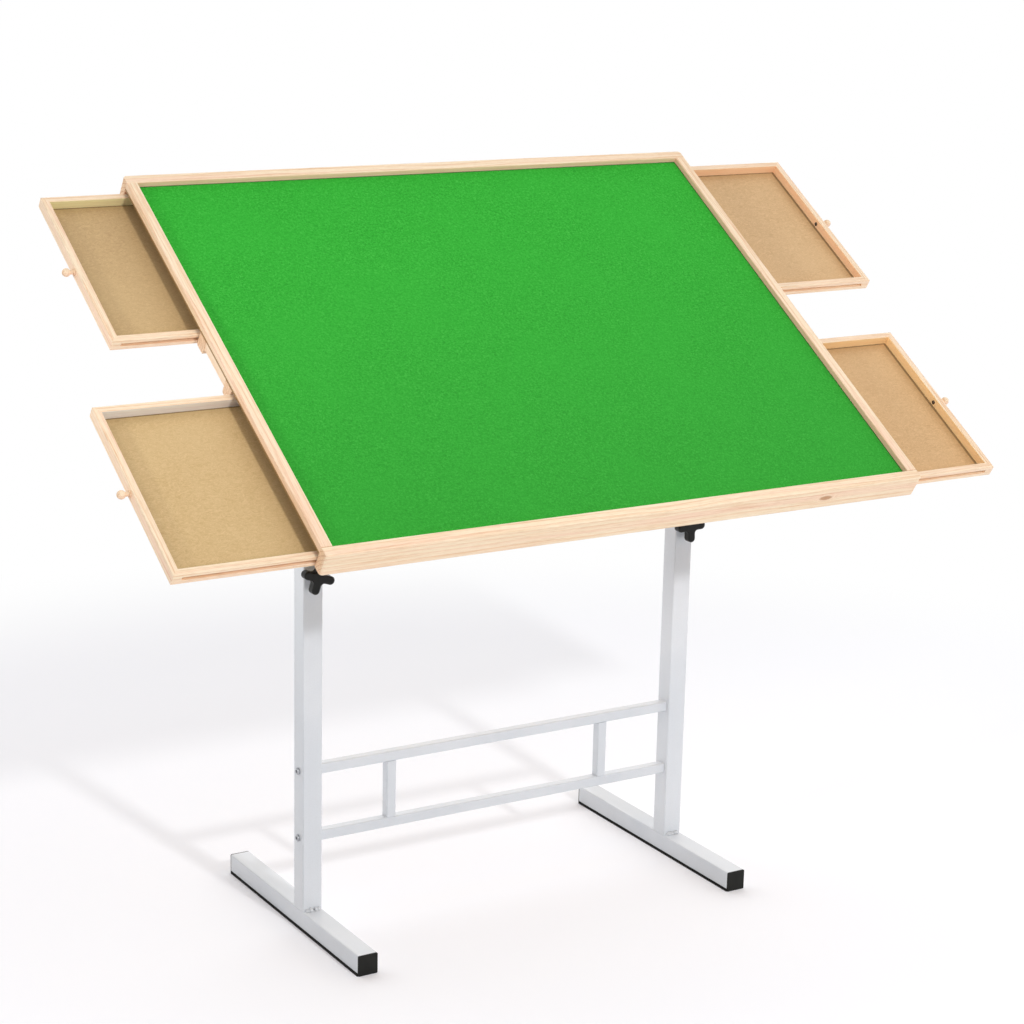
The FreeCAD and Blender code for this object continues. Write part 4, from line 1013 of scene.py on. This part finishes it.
# %% Sky
SKY_PLAIN, SKY_RIGHT, SKY_BEHIND, SKY_ABOVE = 0.05, 1.05, 1.5, 0.42
world = bpy.data.worlds.new("Studio")
bpy.context.scene.world = world
world.use_nodes = True
towards = add(world, "SeparateXYZ", Vector=add(world, "TexCoord").outputs["Generated"]).outputs
screens = sum_of(world, "ADD", between(world, towards["X"], 0.0, 1.0, 0.0, SKY_RIGHT), SKY_PLAIN)
screens = sum_of(world, "ADD", screens, between(world, towards["Y"], 0.0, 1.0, 0.0, SKY_BEHIND))
screens = sum_of(world, "ADD", screens, between(world, towards["Z"], 0.0, 1.0, 0.0, SKY_ABOVE))
background = world.node_tree.nodes["Background"]
join(world, background, "Strength", mix(world, seen_rays(world), screens, WHITE))
join(world, background, "Color", WHITE)
print("sky", SKY_PLAIN, SKY_RIGHT, SKY_BEHIND, SKY_ABOVE)

# %% [markdown]
# ## Floor
# A large pale floor catches the soft shadows. To the camera it gets a little lighter than its
# light makes it, and it turns to plain white two metres from the middle, so that no horizon
# shows.

# %% Floor sheet
FLOOR_REACH = 60.0
ground = bmesh.new()
quarters = ((-1, -1), (1, -1), (1, 1), (-1, 1))
ground.faces.new([ground.verts.new((x * FLOOR_REACH, y * FLOOR_REACH, 0)) for x, y in quarters])
floor_data = bpy.data.meshes.new("Floor")
ground.to_mesh(floor_data)
ground.free()
floor = bpy.data.objects.new("Floor", floor_data)
bpy.context.scene.collection.objects.link(floor)
print("floor", 2 * FLOOR_REACH, "m wide")

# %% How light the floor is
PAPER, PAPER_GLOW = (0.845, 0.855, 0.88, 1), card(255, 246, 252)
FLOOR_LIFT, LIFT_TO_RIGHT = 0.145, -0.03
FADE_FROM, FADE_TO = 1.25, 1.95
paper = start_finish("studio_paper")
shade(paper, Base_Color=PAPER, Roughness=0.9, Specular_IOR_Level=0.0)
seen = seen_rays(paper)
place = add(paper, "TexCoord").outputs["Object"]
away = vector_of(paper, "LENGTH", place, (0, 0, 0))
uneven = vector_of(paper, "DOT_PRODUCT", place, (LIFT_TO_RIGHT, 0, 0))
far = sum_of(paper, "MULTIPLY", seen, between(paper, away, FADE_FROM, FADE_TO))
close = sum_of(paper, "SUBTRACT", seen, far)
near = sum_of(paper, "MULTIPLY", close, sum_of(paper, "ADD", uneven, FLOOR_LIFT))
print("plain white from", FADE_TO, "m outwards")

# %% Floor finish
glow = add(paper, "Emission", Color=WHITE, Strength=1.0)
lift = add(paper, "Emission", Color=PAPER_GLOW, Strength=near)
faded = add(paper, "MixShader", Fac=far)
join(paper, faded, 1, paper.node_tree.nodes["Principled BSDF"].outputs[0])
join(paper, faded, 2, glow.outputs[0])
whole = add(paper, "AddShader")
join(paper, whole, 0, faded.outputs[0])
join(paper, whole, 1, lift.outputs[0])
join(paper, paper.node_tree.nodes["Material Output"], "Surface", whole.outputs[0])
floor_data.materials.append(paper)
bpy.context.scene.view_settings.view_transform = "Standard"
print(len(paper.node_tree.nodes), "nodes in the floor's finish")
